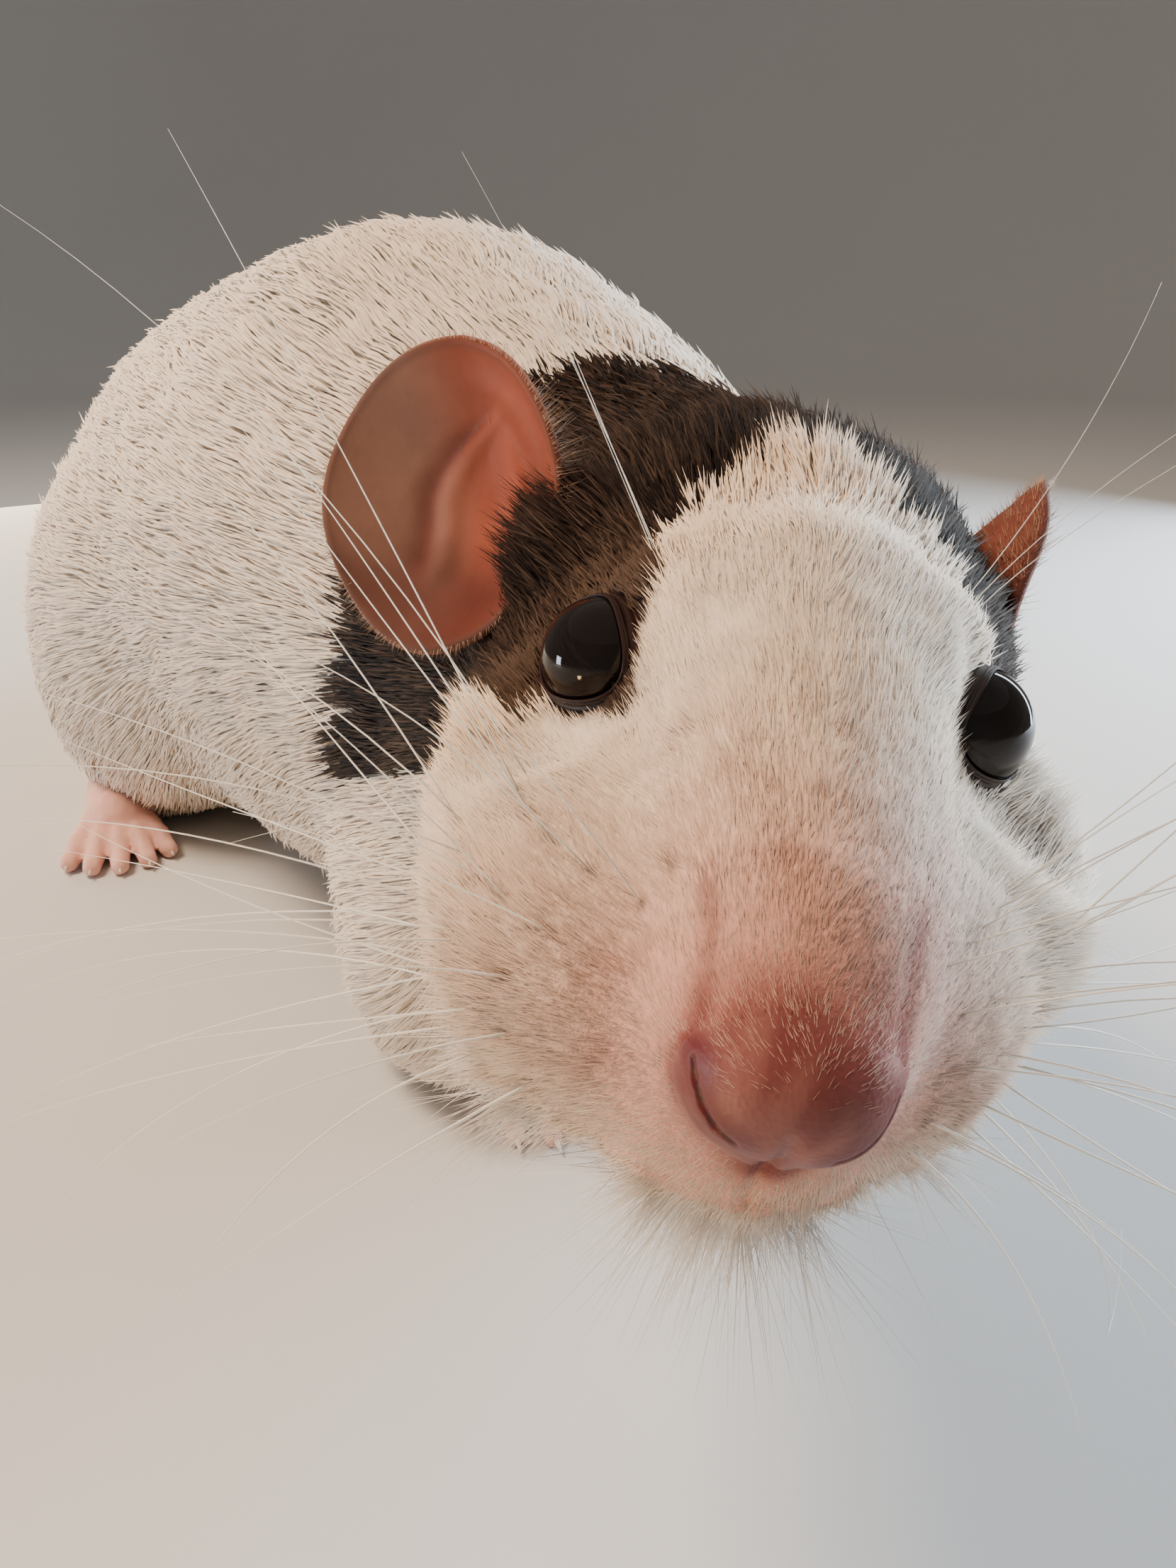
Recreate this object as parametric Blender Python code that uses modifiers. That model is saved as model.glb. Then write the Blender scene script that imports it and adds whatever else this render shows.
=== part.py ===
"""Hooded rat, life size, lying in a low crouch with its head turned to its right.

Lengths in the design are millimetres. Each finished mesh is turned to metres.
The rat faces -Y, its right side is -X and the floor is z = 0.
The head has a frame of its own: its origin is midway between the eyes,
its X runs to the rat's left, its -Y to the nose and its Z to the crown.
"""

import math

import bmesh
import bpy
import numpy as np
from mathutils import Euler, Matrix, Vector

NAME = "hooded_rat"
TO_METRES = 0.001
GAP = 0.3

# Head pose
HEAD_PLACE = (-12.0, -22.0, 46.5)
HEAD_TURN = 29.0
HEAD_PITCH = -4.0
HEAD_ROLL = 9.5

# Head: centre, radii and how softly each rounded form blends into those before it
CRANIUM = ((0.0, 12.0, -1.5), (13.0, 16.0, 13.2), 5.0)
BRIDGE = ((0.0, -2.0, 1.2), (0.0, -19.0, -4.6), 8.2, 5.2, 5.0)
CHEEK = ((7.8, 6.0, -7.2), (8.2, 11.0, 8.8), 5.0)
JOWL = ((9.9, -3.4, -7.4), (6.6, 8.8, 7.4), 4.0)
BROW = ((5.4, -1.2, 3.2), (3.6, 5.2, 3.5), 3.0)
MUZZLE_TIP = ((-0.4, -22.0, -7.0), (4.0, 4.0, 3.8), 3.0)
UPPER_LIP = ((-0.8, -18.4, -11.7), (5.6, 4.8, 3.8), 3.0)
CHIN = ((-0.3, -15.0, -15.2), (0.0, 4.0, -13.5), 3.9, 8.0, 3.0)
THROAT = ((0.0, 17.0, -8.0), (13.5, 14.0, 13.0), 6.0)
PAD_MIDDLE = (-11.8, -9.0)
PAD_BLEND = 3.0

# Eyes and lids
EYE_RADIUS = 3.1
EYE_PLACE = (9.3, -0.6, 0.6)
EYE_SIDEWAYS = 50.0
EYE_UPWARD = 20.0
EYE_DISH = 9.0
EYE_DISH_OUT = 9.8
EYE_DISH_BLEND = 1.2
LID_RADIUS = 2.8
LID_THICKNESS = 0.6
LID_OUT = 1.25
LID_SIDES = 8
LID_STEPS = 20

# Ears
EAR_HALF_WIDTH = 9.0
EAR_HALF_HEIGHT = 9.8
EAR_INNER_SIDE = 0.12
EAR_OUT = 7.7
EAR_UP = 0.8
EAR_TOP_LEAN = (0.05, 0.6)
EAR_LOW_FRONT = 0.10
EAR_BOWL = 2.2
EAR_CURL = 0.52
EAR_CURL_SWING = 0.78
EAR_RINGS = 5
EAR_SPOKES = 22
EAR_CUP = 3.6
EAR_THICKNESS = 0.75
EAR_STALK = 3.4
EAR_STALK_PLACE = (-1.2, -2.2, -4.2)
EARS = {
    "right": {
        "side": -1, "root": (-14.0, 14.0, 7.2), "out": (-14.5, 5.0, -2.5), "up": (1.2, 4.0, 18.5),
    },
    "left": {
        "side": 1, "root": (13.4, 14.4, 4.6), "out": (4.4, 14.0, -2.0), "up": (1.8, 4.0, 18.0),
    },
}

# Nose and mouth
MUZZLE_SHIFT = -1.4
PAD_OUT = 6.2
PAD_RADII = (7.0, 9.6, 7.0)
PAD_TURN = 22.0
NOSE_CENTRE = (-0.2, -24.9, -6.8)
NOSE_RADII = (2.4, 2.1, 2.2)
NOSE_WING_PLACE = (1.4, 0.4, -0.1)
NOSE_WING_RADII = (1.5, 1.7, 1.6)
NOSE_WING_BLEND = 1.5
NOSTRIL_PLACE = (1.9, -1.2, 0.0)
NOSTRIL_RADII = (0.6, 1.1, 0.8)
MOUTH_FRONT = (-20.5, -14.2)
MOUTH_BACK = (-3.0, -12.2)
MUZZLE_CUT = -8.2
LIP_CENTRE = -9.0
LIP_SPREAD = 70.0
LIP_STEPS = 8
LIP_APART = 0.85
LIP_SUNK = 0.55
LIP_RADIUS = 0.85
LIP_BLEND = 0.8

# Cuts that part the trunk
NAPE_CUT = (0.0, 19.0, 0.0)
NAPE_NORMAL = (0.0, 0.90, -0.43)
NECK_CUT = (0.0, 13.0, 42.0)
NECK_NORMAL = (0.08, 0.92, -0.39)

# Trunk: the hips turn to the rat's right about a pivot
HIPS_PIVOT = 30.0
HIPS_TURN = 8.0
CHEST = ((0.0, 28.0, 31.0), (24.0, 34.0, 29.0))
BELLY = ((0.0, 64.0, 36.0), (33.0, 46.0, 38.0), 14.0)
HAUNCH = ((0.0, 100.0, 33.5), (34.0, 42.0, 35.5), 14.0)
RUMP = ((0.0, 134.0, 17.0), (12.0, 16.0, 13.0), 12.0)
NECK = ((-1.0, 4.0, 39.0), (18.5, 19.0, 19.0), 12.0)
THIGH = ((27.0, 102.0, 22.0), (15.0, 27.0, 24.0))
THIGH_BLEND = 9.0
ARM = ((19.5, 20.0, 13.0), (9.5, 15.0, 14.0))
ARM_BLEND = 7.0
LIMB_INSET = 1.5

# Paws
PAWS = {
    "forepaw": {
        "heel": (14.5, 21.0, 3.2), "toes": (12.5, 3.0, 1.6), "length": 17.0,
        "width": 7.0, "toe_length": 7.5, "toe_radius": 0.95, "count": 4,
    },
    "hindfoot": {
        "heel": (30.0, 116.0, 4.0), "toes": (37.5, 78.0, 1.8), "length": 38.0,
        "width": 9.0, "toe_length": 12.0, "toe_radius": 1.35, "count": 5,
    },
}
CLAW_LENGTH = 2.4
CLAW_SHARE = 0.5
CLAW_SIDES = 6
CLAW_TIP = 0.12
CLAW_TIP_HEIGHT = 0.35
HEEL_SHARE = 0.36
PALM_SHARE = 0.44
SOLE_BLEND = 1.5
TOE_FAN = 0.30
SHORTER_OUTER_TOES = 0.22
KNUCKLE_SHARE = 0.55
KNUCKLE_HEIGHT = 1.25
TOE_TIP_HEIGHT = 0.85
TOE_BLEND = 0.5

# Tail
TAIL_LENGTH = 184.0
TAIL_RADIUS = 4.6
TAIL_TIP_RADIUS = 1.1
TAIL_ROOT = (0.0, 140.0, 13.0)
TAIL_BEND_RADIUS = 78.0
TAIL_LENGTHS = 4
TAIL_DROP = 42.0
TAIL_FLAT = 0.9
TAIL_TAPER = 0.85
TAIL_STEPS = 9
TAIL_END_SHARE = 0.6

# Whiskers
WHISKER_RADIUS = 0.27
WHISKER_ROWS = 4
WHISKER_COLUMNS = 3
WHISKER_LONGEST = 50.0
WHISKER_SHORTEST_SHARE = 0.55
WHISKER_ROOTS = ((3.0, -18.0, -10.2), (3.0, -11.0, -4.8))
WHISKER_RISE = (-20.0, 40.0)
WHISKER_SWEEP = (4.0, 42.0)
WHISKER_DROOP = (5.0, 3.0)
WHISKER_SUNK = 1.6
WHISKER_STATIONS = (0.38, 0.72)
WHISKER_TAPER = 0.62
WHISKER_FAN = 0.25

# Fineness of each form's net, and the share of its triangles that stays
BODY_NET = 3.0
HEAD_NET = 0.95
FOOT_NET = 0.6
NOSE_NET = 0.45
BODY_SHARE = 0.24
HEAD_SHARE = 0.165
FOOT_SHARE = 0.08
NOSE_SHARE = 0.12

COLOURS = {
    "head": (0.060, 0.035, 0.024),
    "neck": (0.060, 0.035, 0.024),
    "muzzle": (0.720, 0.620, 0.500),
    "jaw": (0.760, 0.690, 0.600),
    "torso": (0.800, 0.745, 0.660),
    "thigh": (0.800, 0.745, 0.660),
    "foreleg": (0.800, 0.745, 0.660),
    "forepaw": (0.720, 0.420, 0.360),
    "hindfoot": (0.720, 0.420, 0.360),
    "tail": (0.700, 0.450, 0.390),
    "nose": (0.650, 0.270, 0.230),
    "ear": (0.520, 0.240, 0.180),
    "eye": (0.012, 0.008, 0.008),
}
FUR_ROUGHNESS = 0.85
SKIN_ROUGHNESS = 0.55
EYE_ROUGHNESS = 0.06
SHARP_ANGLE = 40.0


def clear_scene():
    for old in list(bpy.data.objects):
        bpy.data.objects.remove(old)


def new_collection(name):
    made = bpy.data.collections.new(name)
    bpy.context.scene.collection.children.link(made)
    return made


def head_matrix():
    turn = Euler(
        (
            math.radians(HEAD_PITCH),
            math.radians(HEAD_ROLL),
            math.radians(-HEAD_TURN),
        ),
        "XYZ",
    )
    return Matrix.Translation(HEAD_PLACE) @ turn.to_matrix().to_4x4()


# Rounded forms: each is an ellipsoid or a tapered bone, and a field blends them

def ball(centre, radii, blend=5.0, turn=(0.0, 0.0, 0.0)):
    angles = [math.radians(angle) for angle in turn]
    axes = np.array(Euler(angles, "XYZ").to_matrix())
    return {
        "kind": "ball",
        "centre": np.array(centre, float),
        "radii": np.array(radii, float),
        "axes": axes,
        "blend": blend,
    }


def bone(start, end, start_radius, end_radius, blend):
    return {
        "kind": "bone",
        "start": np.array(start, float),
        "end": np.array(end, float),
        "radii": (start_radius, end_radius),
        "blend": blend,
    }


def mirrored(form):
    flip = np.array([-1.0, 1.0, 1.0])
    twin = dict(form)
    if form["kind"] == "ball":
        twin["centre"] = form["centre"] * flip
        twin["axes"] = flip[:, None] * form["axes"] * flip[None, :]
    else:
        twin["start"] = form["start"] * flip
        twin["end"] = form["end"] * flip
    return twin


def both_sides(*forms):
    return [*forms, *[mirrored(form) for form in forms]]


def hollow(form):
    """The same form, taken out of those before it in place of added to them."""
    twin = dict(form)
    twin["hollow"] = True
    return twin


def moved(form, matrix):
    turn = np.array(matrix.to_3x3())
    place = np.array(matrix.translation)
    twin = dict(form)
    if form["kind"] == "ball":
        twin["centre"] = turn @ form["centre"] + place
        twin["axes"] = turn @ form["axes"]
    else:
        twin["start"] = turn @ form["start"] + place
        twin["end"] = turn @ form["end"] + place
    return twin


def distance(form, points):
    """Roughly how far each point is outside one form."""
    if form["kind"] == "ball":
        local = (points - form["centre"]) @ form["axes"]
        scaled = np.linalg.norm(local / form["radii"], axis=1)
        steep = np.linalg.norm(local / form["radii"] ** 2, axis=1)
        return scaled * (scaled - 1.0) / np.maximum(steep, 1e-9)
    along = form["end"] - form["start"]
    share = np.clip((points - form["start"]) @ along / (along @ along), 0.0, 1.0)
    nearest = form["start"] + share[:, None] * along
    first, last = form["radii"]
    radius = first + share * (last - first)
    return np.linalg.norm(points - nearest, axis=1) - radius


def field(forms, points):
    """The smooth union of the forms: below zero inside, above zero outside."""
    total = distance(forms[0], points)
    for form in forms[1:]:
        sign = -1.0 if form.get("hollow") else 1.0
        total, other = total * sign, distance(form, points)
        near = np.maximum(form["blend"] - np.abs(total - other), 0.0)
        total = sign * (np.minimum(total, other) - near**2 / (4.0 * form["blend"]))
    return total


def slope(forms, points, step=0.05):
    found = np.empty_like(points)
    for axis in range(3):
        shift = np.zeros(3)
        shift[axis] = step
        ahead = field(forms, points + shift)
        behind = field(forms, points - shift)
        found[:, axis] = (ahead - behind) / (2.0 * step)
    return found


def settle(forms, points, rounds=6, most=1.2):
    """Moves points along the slope until they lie on the blended surface."""
    for _ in range(rounds):
        value = field(forms, points)
        steep = slope(forms, points)
        length = np.maximum(np.linalg.norm(steep, axis=1), 0.2)
        move = np.clip(value / length, -most, most)
        points = points - move[:, None] * steep / length[:, None]
    return points


# Meshes and objects

def object_of(name, mesh, collection):
    made = bpy.data.objects.new(name, mesh)
    collection.objects.link(made)
    return made


def mesh_of_forms(forms):
    """A closed primitive for each form, all in one mesh and still crossing."""
    net = bmesh.new()
    for form in forms:
        if form.get("hollow"):
            continue
        if form["kind"] == "ball":
            place = Matrix.Translation(form["centre"])
            axes = Matrix(form["axes"].tolist()).to_4x4()
            stretch = Matrix.Diagonal((*form["radii"], 1.0))
            bmesh.ops.create_icosphere(
                net, subdivisions=4, radius=1.0, matrix=place @ axes @ stretch
            )
            continue
        start, end = Vector(form["start"]), Vector(form["end"])
        first, last = form["radii"]
        middle = Matrix.Translation((start + end) / 2)
        axis = (end - start).to_track_quat("Z", "Y").to_matrix().to_4x4()
        bmesh.ops.create_cone(
            net, cap_ends=True, segments=24, radius1=first, radius2=last,
            depth=(end - start).length, matrix=middle @ axis,
        )
        for centre, radius in ((start, first), (end, last)):
            bmesh.ops.create_icosphere(
                net, subdivisions=3, radius=radius, matrix=Matrix.Translation(centre)
            )
    mesh = bpy.data.meshes.new("forms")
    net.to_mesh(mesh)
    net.free()
    return mesh


def applied(thing):
    """Turns an object's modifiers into its mesh."""
    bpy.context.view_layer.update()
    graph = bpy.context.evaluated_depsgraph_get()
    mesh = bpy.data.meshes.new_from_object(thing.evaluated_get(graph))
    thing.modifiers.clear()
    thing.data = mesh
    return thing


def points_of(mesh):
    flat = np.empty(len(mesh.vertices) * 3)
    mesh.vertices.foreach_get("co", flat)
    return flat.reshape(-1, 3)


def set_points(mesh, points):
    mesh.vertices.foreach_set("co", points.ravel())
    mesh.update()


def blended(name, forms, net_size, share, collection):
    """The forms as one smooth closed mesh, with the given share of its faces."""
    thing = object_of(name, mesh_of_forms(forms), collection)
    remesh = thing.modifiers.new("Net", "REMESH")
    remesh.mode = "VOXEL"
    remesh.voxel_size = net_size
    applied(thing)
    set_points(thing.data, settle(forms, points_of(thing.data)))
    fewer = thing.modifiers.new("Fewer", "DECIMATE")
    fewer.ratio = share
    return applied(thing)


def keep_largest(thing):
    """Leaves an object only the closed surface that holds the most volume."""
    net = bmesh.new()
    net.from_mesh(thing.data)
    bmesh.ops.remove_doubles(net, verts=net.verts, dist=1e-4)
    net.faces.ensure_lookup_table()
    left = set(net.faces)
    islands = []
    while left:
        seed = left.pop()
        island, edge_of = {seed}, [seed]
        while edge_of:
            face = edge_of.pop()
            for edge in face.edges:
                for other in edge.link_faces:
                    if other in left:
                        left.remove(other)
                        island.add(other)
                        edge_of.append(other)
        islands.append(island)
    if len(islands) > 1:
        sized = sorted(islands, key=island_volume)
        drop = [face for island in sized[:-1] for face in island]
        bmesh.ops.delete(net, geom=drop, context="FACES")
    bmesh.ops.triangulate(net, faces=net.faces)
    net.to_mesh(thing.data)
    net.free()
    return thing


def island_volume(faces):
    total = 0.0
    for face in faces:
        corners = [vert.co for vert in face.verts]
        for second, third in zip(corners[1:], corners[2:]):
            total += corners[0].dot(second.cross(third))
    return abs(total)


def boolean(thing, operation, other):
    cut = thing.modifiers.new(operation.title(), "BOOLEAN")
    cut.operation = operation
    cut.solver = "MANIFOLD"
    cut.object = other
    return applied(thing)


def union_of_collection(thing, collection):
    """Fuses every object of a collection into the node, and removes them."""
    join = thing.modifiers.new("Fuse", "BOOLEAN")
    join.operation = "UNION"
    join.solver = "MANIFOLD"
    join.operand_type = "COLLECTION"
    join.collection = collection
    applied(thing)
    for piece in list(collection.objects):
        bpy.data.objects.remove(piece)
    return keep_largest(thing)


def copied(thing, name, collection):
    return object_of(name, thing.data.copy(), collection)


def grown(thing, collection, by=GAP):
    """A copy of an object whose surface stands out by the gap."""
    twin = copied(thing, thing.name + "_grown", collection)
    normals = np.empty(len(twin.data.vertices) * 3)
    twin.data.vertices.foreach_get("normal", normals)
    set_points(twin.data, points_of(twin.data) + by * normals.reshape(-1, 3))
    return twin


def half_space(point, normal, collection, size=400.0):
    """A large block whose face lies at the point, on the side the normal leaves."""
    net = bmesh.new()
    direction = Vector(normal).normalized()
    turn = direction.to_track_quat("Z", "Y").to_matrix().to_4x4()
    centre = Vector(point) - direction * (size / 2)
    bmesh.ops.create_cube(net, size=size, matrix=Matrix.Translation(centre) @ turn)
    mesh = bpy.data.meshes.new("half_space")
    net.to_mesh(mesh)
    net.free()
    return object_of("half_space", mesh, collection)


def round_cutter(centre, radii, collection, by=0.0, fineness=3):
    net = bmesh.new()
    stretch = Matrix.Diagonal((*[radius + by for radius in radii], 1.0))
    place = Matrix.Translation(centre) @ stretch
    bmesh.ops.create_icosphere(net, subdivisions=fineness, radius=1.0, matrix=place)
    mesh = bpy.data.meshes.new("round_cutter")
    net.to_mesh(mesh)
    net.free()
    return object_of("round_cutter", mesh, collection)


def cone_between(start, end, start_radius, end_radius, sides, collection):
    net = bmesh.new()
    start, end = Vector(start), Vector(end)
    axis = (end - start).to_track_quat("Z", "Y").to_matrix().to_4x4()
    bmesh.ops.create_cone(
        net, cap_ends=True, segments=sides, radius1=start_radius,
        radius2=end_radius, depth=(end - start).length,
        matrix=Matrix.Translation((start + end) / 2) @ axis,
    )
    mesh = bpy.data.meshes.new("cone")
    net.to_mesh(mesh)
    net.free()
    return object_of("cone", mesh, collection)


# The rat's own forms

def head_forms():
    """The head out to the tips of its short coat, in the head's frame."""
    forms = [ball(*CRANIUM), bone(*BRIDGE)]
    forms += both_sides(ball(*CHEEK), ball(*JOWL), ball(*BROW))
    for side in (-1, 1):
        pad = (MUZZLE_SHIFT + side * PAD_OUT, *PAD_MIDDLE)
        forms.append(ball(pad, PAD_RADII, PAD_BLEND, turn=(0.0, 0.0, -PAD_TURN * side)))
    forms += [ball(*MUZZLE_TIP), ball(*UPPER_LIP), bone(*CHIN), ball(*THROAT)]
    forms += [eye_dish(side) for side in (-1, 1)]
    return forms + lip_forms(forms)


def lip_forms(forms):
    """A roll along each lip, just above and just below the mouth's cut."""
    front_y, front_z = MOUTH_FRONT
    back_y, back_z = MOUTH_BACK
    slant = (front_z - back_z) / (front_y - back_y)
    rolls = []
    for offset in (LIP_APART, -LIP_APART):
        start = np.array((0.0, LIP_CENTRE, front_z + (LIP_CENTRE - front_y) * slant + offset))
        path = []
        for step in range(LIP_STEPS + 1):
            angle = math.radians(LIP_SPREAD * (2.0 * step / LIP_STEPS - 1.0))
            aim = np.array((math.sin(angle), -math.cos(angle), -math.cos(angle) * slant))
            path.append(on_surface(forms, start, aim) - aim * LIP_SUNK)
        for first, second in zip(path, path[1:]):
            rolls.append(bone(first, second, LIP_RADIUS, LIP_RADIUS, LIP_BLEND))
    return rolls


def hips_matrix():
    """The bend of the back: what lies behind the middle turns to the rat's right."""
    pivot = Matrix.Translation((0.0, HIPS_PIVOT, 0.0))
    turn = Matrix.Rotation(math.radians(HIPS_TURN), 4, "Z")
    return pivot @ turn @ pivot.inverted()


def limb_form(limb, blend):
    centre, radii = limb
    return ball(centre, np.array(radii) - LIMB_INSET, blend)


def trunk_forms():
    """Neck, trunk, thighs and upper arms out to the tips of the coat."""
    rear = [ball(*BELLY), ball(*HAUNCH), ball(*RUMP)]
    rear += both_sides(limb_form(THIGH, THIGH_BLEND))
    hips = hips_matrix()
    forms = [ball(*CHEST), *[moved(form, hips) for form in rear], ball(*NECK)]
    return forms + both_sides(limb_form(ARM, ARM_BLEND))


def foot_forms(heel, toes, length, width, toe_length, toe_radius, count):
    """A paw lying flat: a sole, and toes that fan out from its front edge."""
    heel, toes = np.array(heel, float), np.array(toes, float)
    forward = (toes - heel) / np.linalg.norm(toes - heel)
    sideways = np.array([-forward[1], forward[0], 0.0])
    palm = heel + forward * (length - toe_length)
    forms = [bone(heel, palm, width * HEEL_SHARE, width * PALM_SHARE, SOLE_BLEND)]
    tips = []
    for number in range(count):
        spread = (number - (count - 1) / 2) / ((count - 1) / 2)
        root = palm + sideways * spread * width * HEEL_SHARE
        reach = toe_length * (1.0 - SHORTER_OUTER_TOES * spread**2)
        aim = forward + sideways * spread * TOE_FAN
        aim = aim / np.linalg.norm(aim)
        knuckle = root + aim * reach * KNUCKLE_SHARE
        knuckle[2] = toe_radius * KNUCKLE_HEIGHT
        tip = root + aim * reach
        tip[2] = toe_radius * TOE_TIP_HEIGHT
        blend = toe_radius * TOE_BLEND
        forms.append(bone(root, knuckle, toe_radius, toe_radius, blend))
        forms.append(bone(knuckle, tip, toe_radius, toe_radius * TOE_TIP_HEIGHT, blend))
        tips.append((tip, aim))
    return forms, tips


def on_surface(forms, start, direction, reach=40.0):
    """Where a ray from inside the forms leaves them."""
    direction = np.array(direction, float) / np.linalg.norm(direction)
    inside, outside = 0.0, reach
    for _ in range(40):
        middle = (inside + outside) / 2
        value = field(forms, (np.array(start) + middle * direction)[None, :])[0]
        inside, outside = (middle, outside) if value < 0 else (inside, middle)
    return np.array(start) + inside * direction


def ear(side, root, out, up, head_place, collection):
    """A round cup on a short stalk, in the head's frame and then in place."""
    root, out = Vector(root), Vector(out).normalized()
    face = out.cross(Vector(up)).normalized() * side
    up = face.cross(out).normalized() * -side
    centre = root + out * EAR_OUT + up * EAR_UP
    lean, lean_angle = EAR_TOP_LEAN
    net = bmesh.new()
    hub = net.verts.new(centre - face * EAR_CUP)
    before = None
    for ring in range(1, EAR_RINGS + 1):
        share = ring / EAR_RINGS
        loop = []
        for spoke in range(EAR_SPOKES):
            angle = 2 * math.pi * spoke / EAR_SPOKES
            outwards, upwards = math.cos(angle), math.sin(angle)
            inner = max(0.0, -outwards)
            wide = EAR_HALF_WIDTH * (1.0 + lean * math.cos(2 * angle + lean_angle))
            wide *= 1.0 - EAR_INNER_SIDE * inner
            tall = EAR_HALF_HEIGHT * (1.0 - EAR_LOW_FRONT * inner)
            depth = EAR_CUP * (1.0 - share**EAR_BOWL)
            curl = share**4 * (EAR_CURL - EAR_CURL_SWING * outwards)
            spot = centre + out * outwards * share * wide + up * upwards * share * tall
            loop.append(net.verts.new(spot - face * (depth - curl)))
        for spoke in range(EAR_SPOKES):
            after = (spoke + 1) % EAR_SPOKES
            if before is None:
                net.faces.new((hub, loop[spoke], loop[after]))
            else:
                net.faces.new((before[spoke], loop[spoke], loop[after], before[after]))
        before = loop
    bmesh.ops.recalc_face_normals(net, faces=net.faces)
    mesh = bpy.data.meshes.new("ear")
    net.to_mesh(mesh)
    net.free()
    thing = object_of("ear", mesh, collection)
    shell = thing.modifiers.new("Shell", "SOLIDIFY")
    shell.thickness = EAR_THICKNESS
    shell.offset = 0.0
    applied(thing)
    outward, upward, ahead = EAR_STALK_PLACE
    knob = root + out * outward + up * upward + face * ahead
    stalk = round_cutter(knob, [EAR_STALK] * 3, collection)
    boolean(thing, "UNION", stalk)
    bpy.data.objects.remove(stalk)
    thing.data.transform(head_place)
    return keep_largest(thing)


def eye_axis(side):
    sideways, upward = math.radians(EYE_SIDEWAYS), math.radians(EYE_UPWARD)
    return Vector((
        side * math.sin(sideways) * math.cos(upward),
        -math.cos(sideways) * math.cos(upward),
        math.sin(upward),
    ))


def eye_centre(side):
    return Vector((side * EYE_PLACE[0], EYE_PLACE[1], EYE_PLACE[2]))


def eye_dish(side):
    """A shallow dish round the eye, which lets it bulge."""
    centre = eye_centre(side) + eye_axis(side) * EYE_DISH_OUT
    return hollow(ball(centre, [EYE_DISH] * 3, EYE_DISH_BLEND))


def eye_ball(name, side, head_place, collection):
    net = bmesh.new()
    place = Matrix.Translation(eye_centre(side))
    bmesh.ops.create_icosphere(net, subdivisions=3, radius=EYE_RADIUS, matrix=place)
    mesh = bpy.data.meshes.new(name)
    net.to_mesh(mesh)
    net.free()
    mesh.transform(head_place)
    return object_of(name, mesh, collection)


def lid_ring(side, head_place, collection):
    """A turned ring round the eye's opening: the rims of both lids."""
    net = bmesh.new()
    profile = []
    for step in range(LID_SIDES):
        angle = 2 * math.pi * step / LID_SIDES
        across = LID_RADIUS + LID_THICKNESS * math.cos(angle)
        along = LID_OUT + LID_THICKNESS * math.sin(angle)
        profile.append(net.verts.new((across, 0.0, along)))
    for first, second in zip(profile, profile[1:] + profile[:1]):
        net.edges.new((first, second))
    bmesh.ops.spin(
        net, geom=net.verts[:] + net.edges[:], cent=(0, 0, 0), axis=(0, 0, 1),
        angle=2 * math.pi, steps=LID_STEPS, use_merge=True,
    )
    bmesh.ops.remove_doubles(net, verts=net.verts, dist=1e-3)
    bmesh.ops.recalc_face_normals(net, faces=net.faces)
    mesh = bpy.data.meshes.new("lid_ring")
    net.to_mesh(mesh)
    net.free()
    turn = eye_axis(side).to_track_quat("Z", "Y").to_matrix().to_4x4()
    mesh.transform(head_place @ Matrix.Translation(eye_centre(side)) @ turn)
    return object_of("lid_ring", mesh, collection)


def tail_point(along):
    """The tail's middle line: down from the rump, then an arc on the floor."""
    angle = along / TAIL_BEND_RADIUS
    x = TAIL_ROOT[0] + TAIL_BEND_RADIUS * (1.0 - math.cos(angle))
    y = TAIL_ROOT[1] + TAIL_BEND_RADIUS * math.sin(angle)
    floor_height = tail_radius(along) * TAIL_FLAT
    drop = max(0.0, 1.0 - along / TAIL_DROP)
    ease = drop * drop * (3.0 - 2.0 * drop)
    spot = Vector((x, y, floor_height + (TAIL_ROOT[2] - floor_height) * ease))
    return hips_matrix() @ spot


def tail_radius(along):
    share = along / TAIL_LENGTH
    return TAIL_RADIUS + (TAIL_TIP_RADIUS - TAIL_RADIUS) * share**TAIL_TAPER


def tail_length(number, collection):
    """One length of the tail: a tapered tube with flat ends."""
    first = TAIL_LENGTH * number / TAIL_LENGTHS + (GAP / 2 if number else 0.0)
    last = TAIL_LENGTH * (number + 1) / TAIL_LENGTHS
    last -= GAP / 2 if number < TAIL_LENGTHS - 1 else 0.0
    curve = bpy.data.curves.new(f"tail_{number + 1}", "CURVE")
    curve.dimensions = "3D"
    curve.bevel_depth = 1.0
    curve.bevel_resolution = 3
    curve.use_fill_caps = True
    spline = curve.splines.new("POLY")
    spline.points.add(TAIL_STEPS - 1)
    for step, point in enumerate(spline.points):
        along = first + (last - first) * step / (TAIL_STEPS - 1)
        point.co = (*tail_point(along), 1.0)
        point.radius = tail_radius(along)
    if number == TAIL_LENGTHS - 1:
        spline.points[-1].radius = TAIL_TIP_RADIUS * TAIL_END_SHARE
    thing = object_of(f"tail_{number + 1}_line", curve, collection)
    bpy.context.view_layer.update()
    graph = bpy.context.evaluated_depsgraph_get()
    mesh = bpy.data.meshes.new_from_object(thing.evaluated_get(graph))
    bpy.data.objects.remove(thing)
    net = bmesh.new()
    net.from_mesh(mesh)
    bmesh.ops.remove_doubles(net, verts=net.verts, dist=1e-3)
    bmesh.ops.recalc_face_normals(net, faces=net.faces)
    net.to_mesh(mesh)
    net.free()
    return object_of(f"tail_{number + 1}", mesh, collection)


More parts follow.
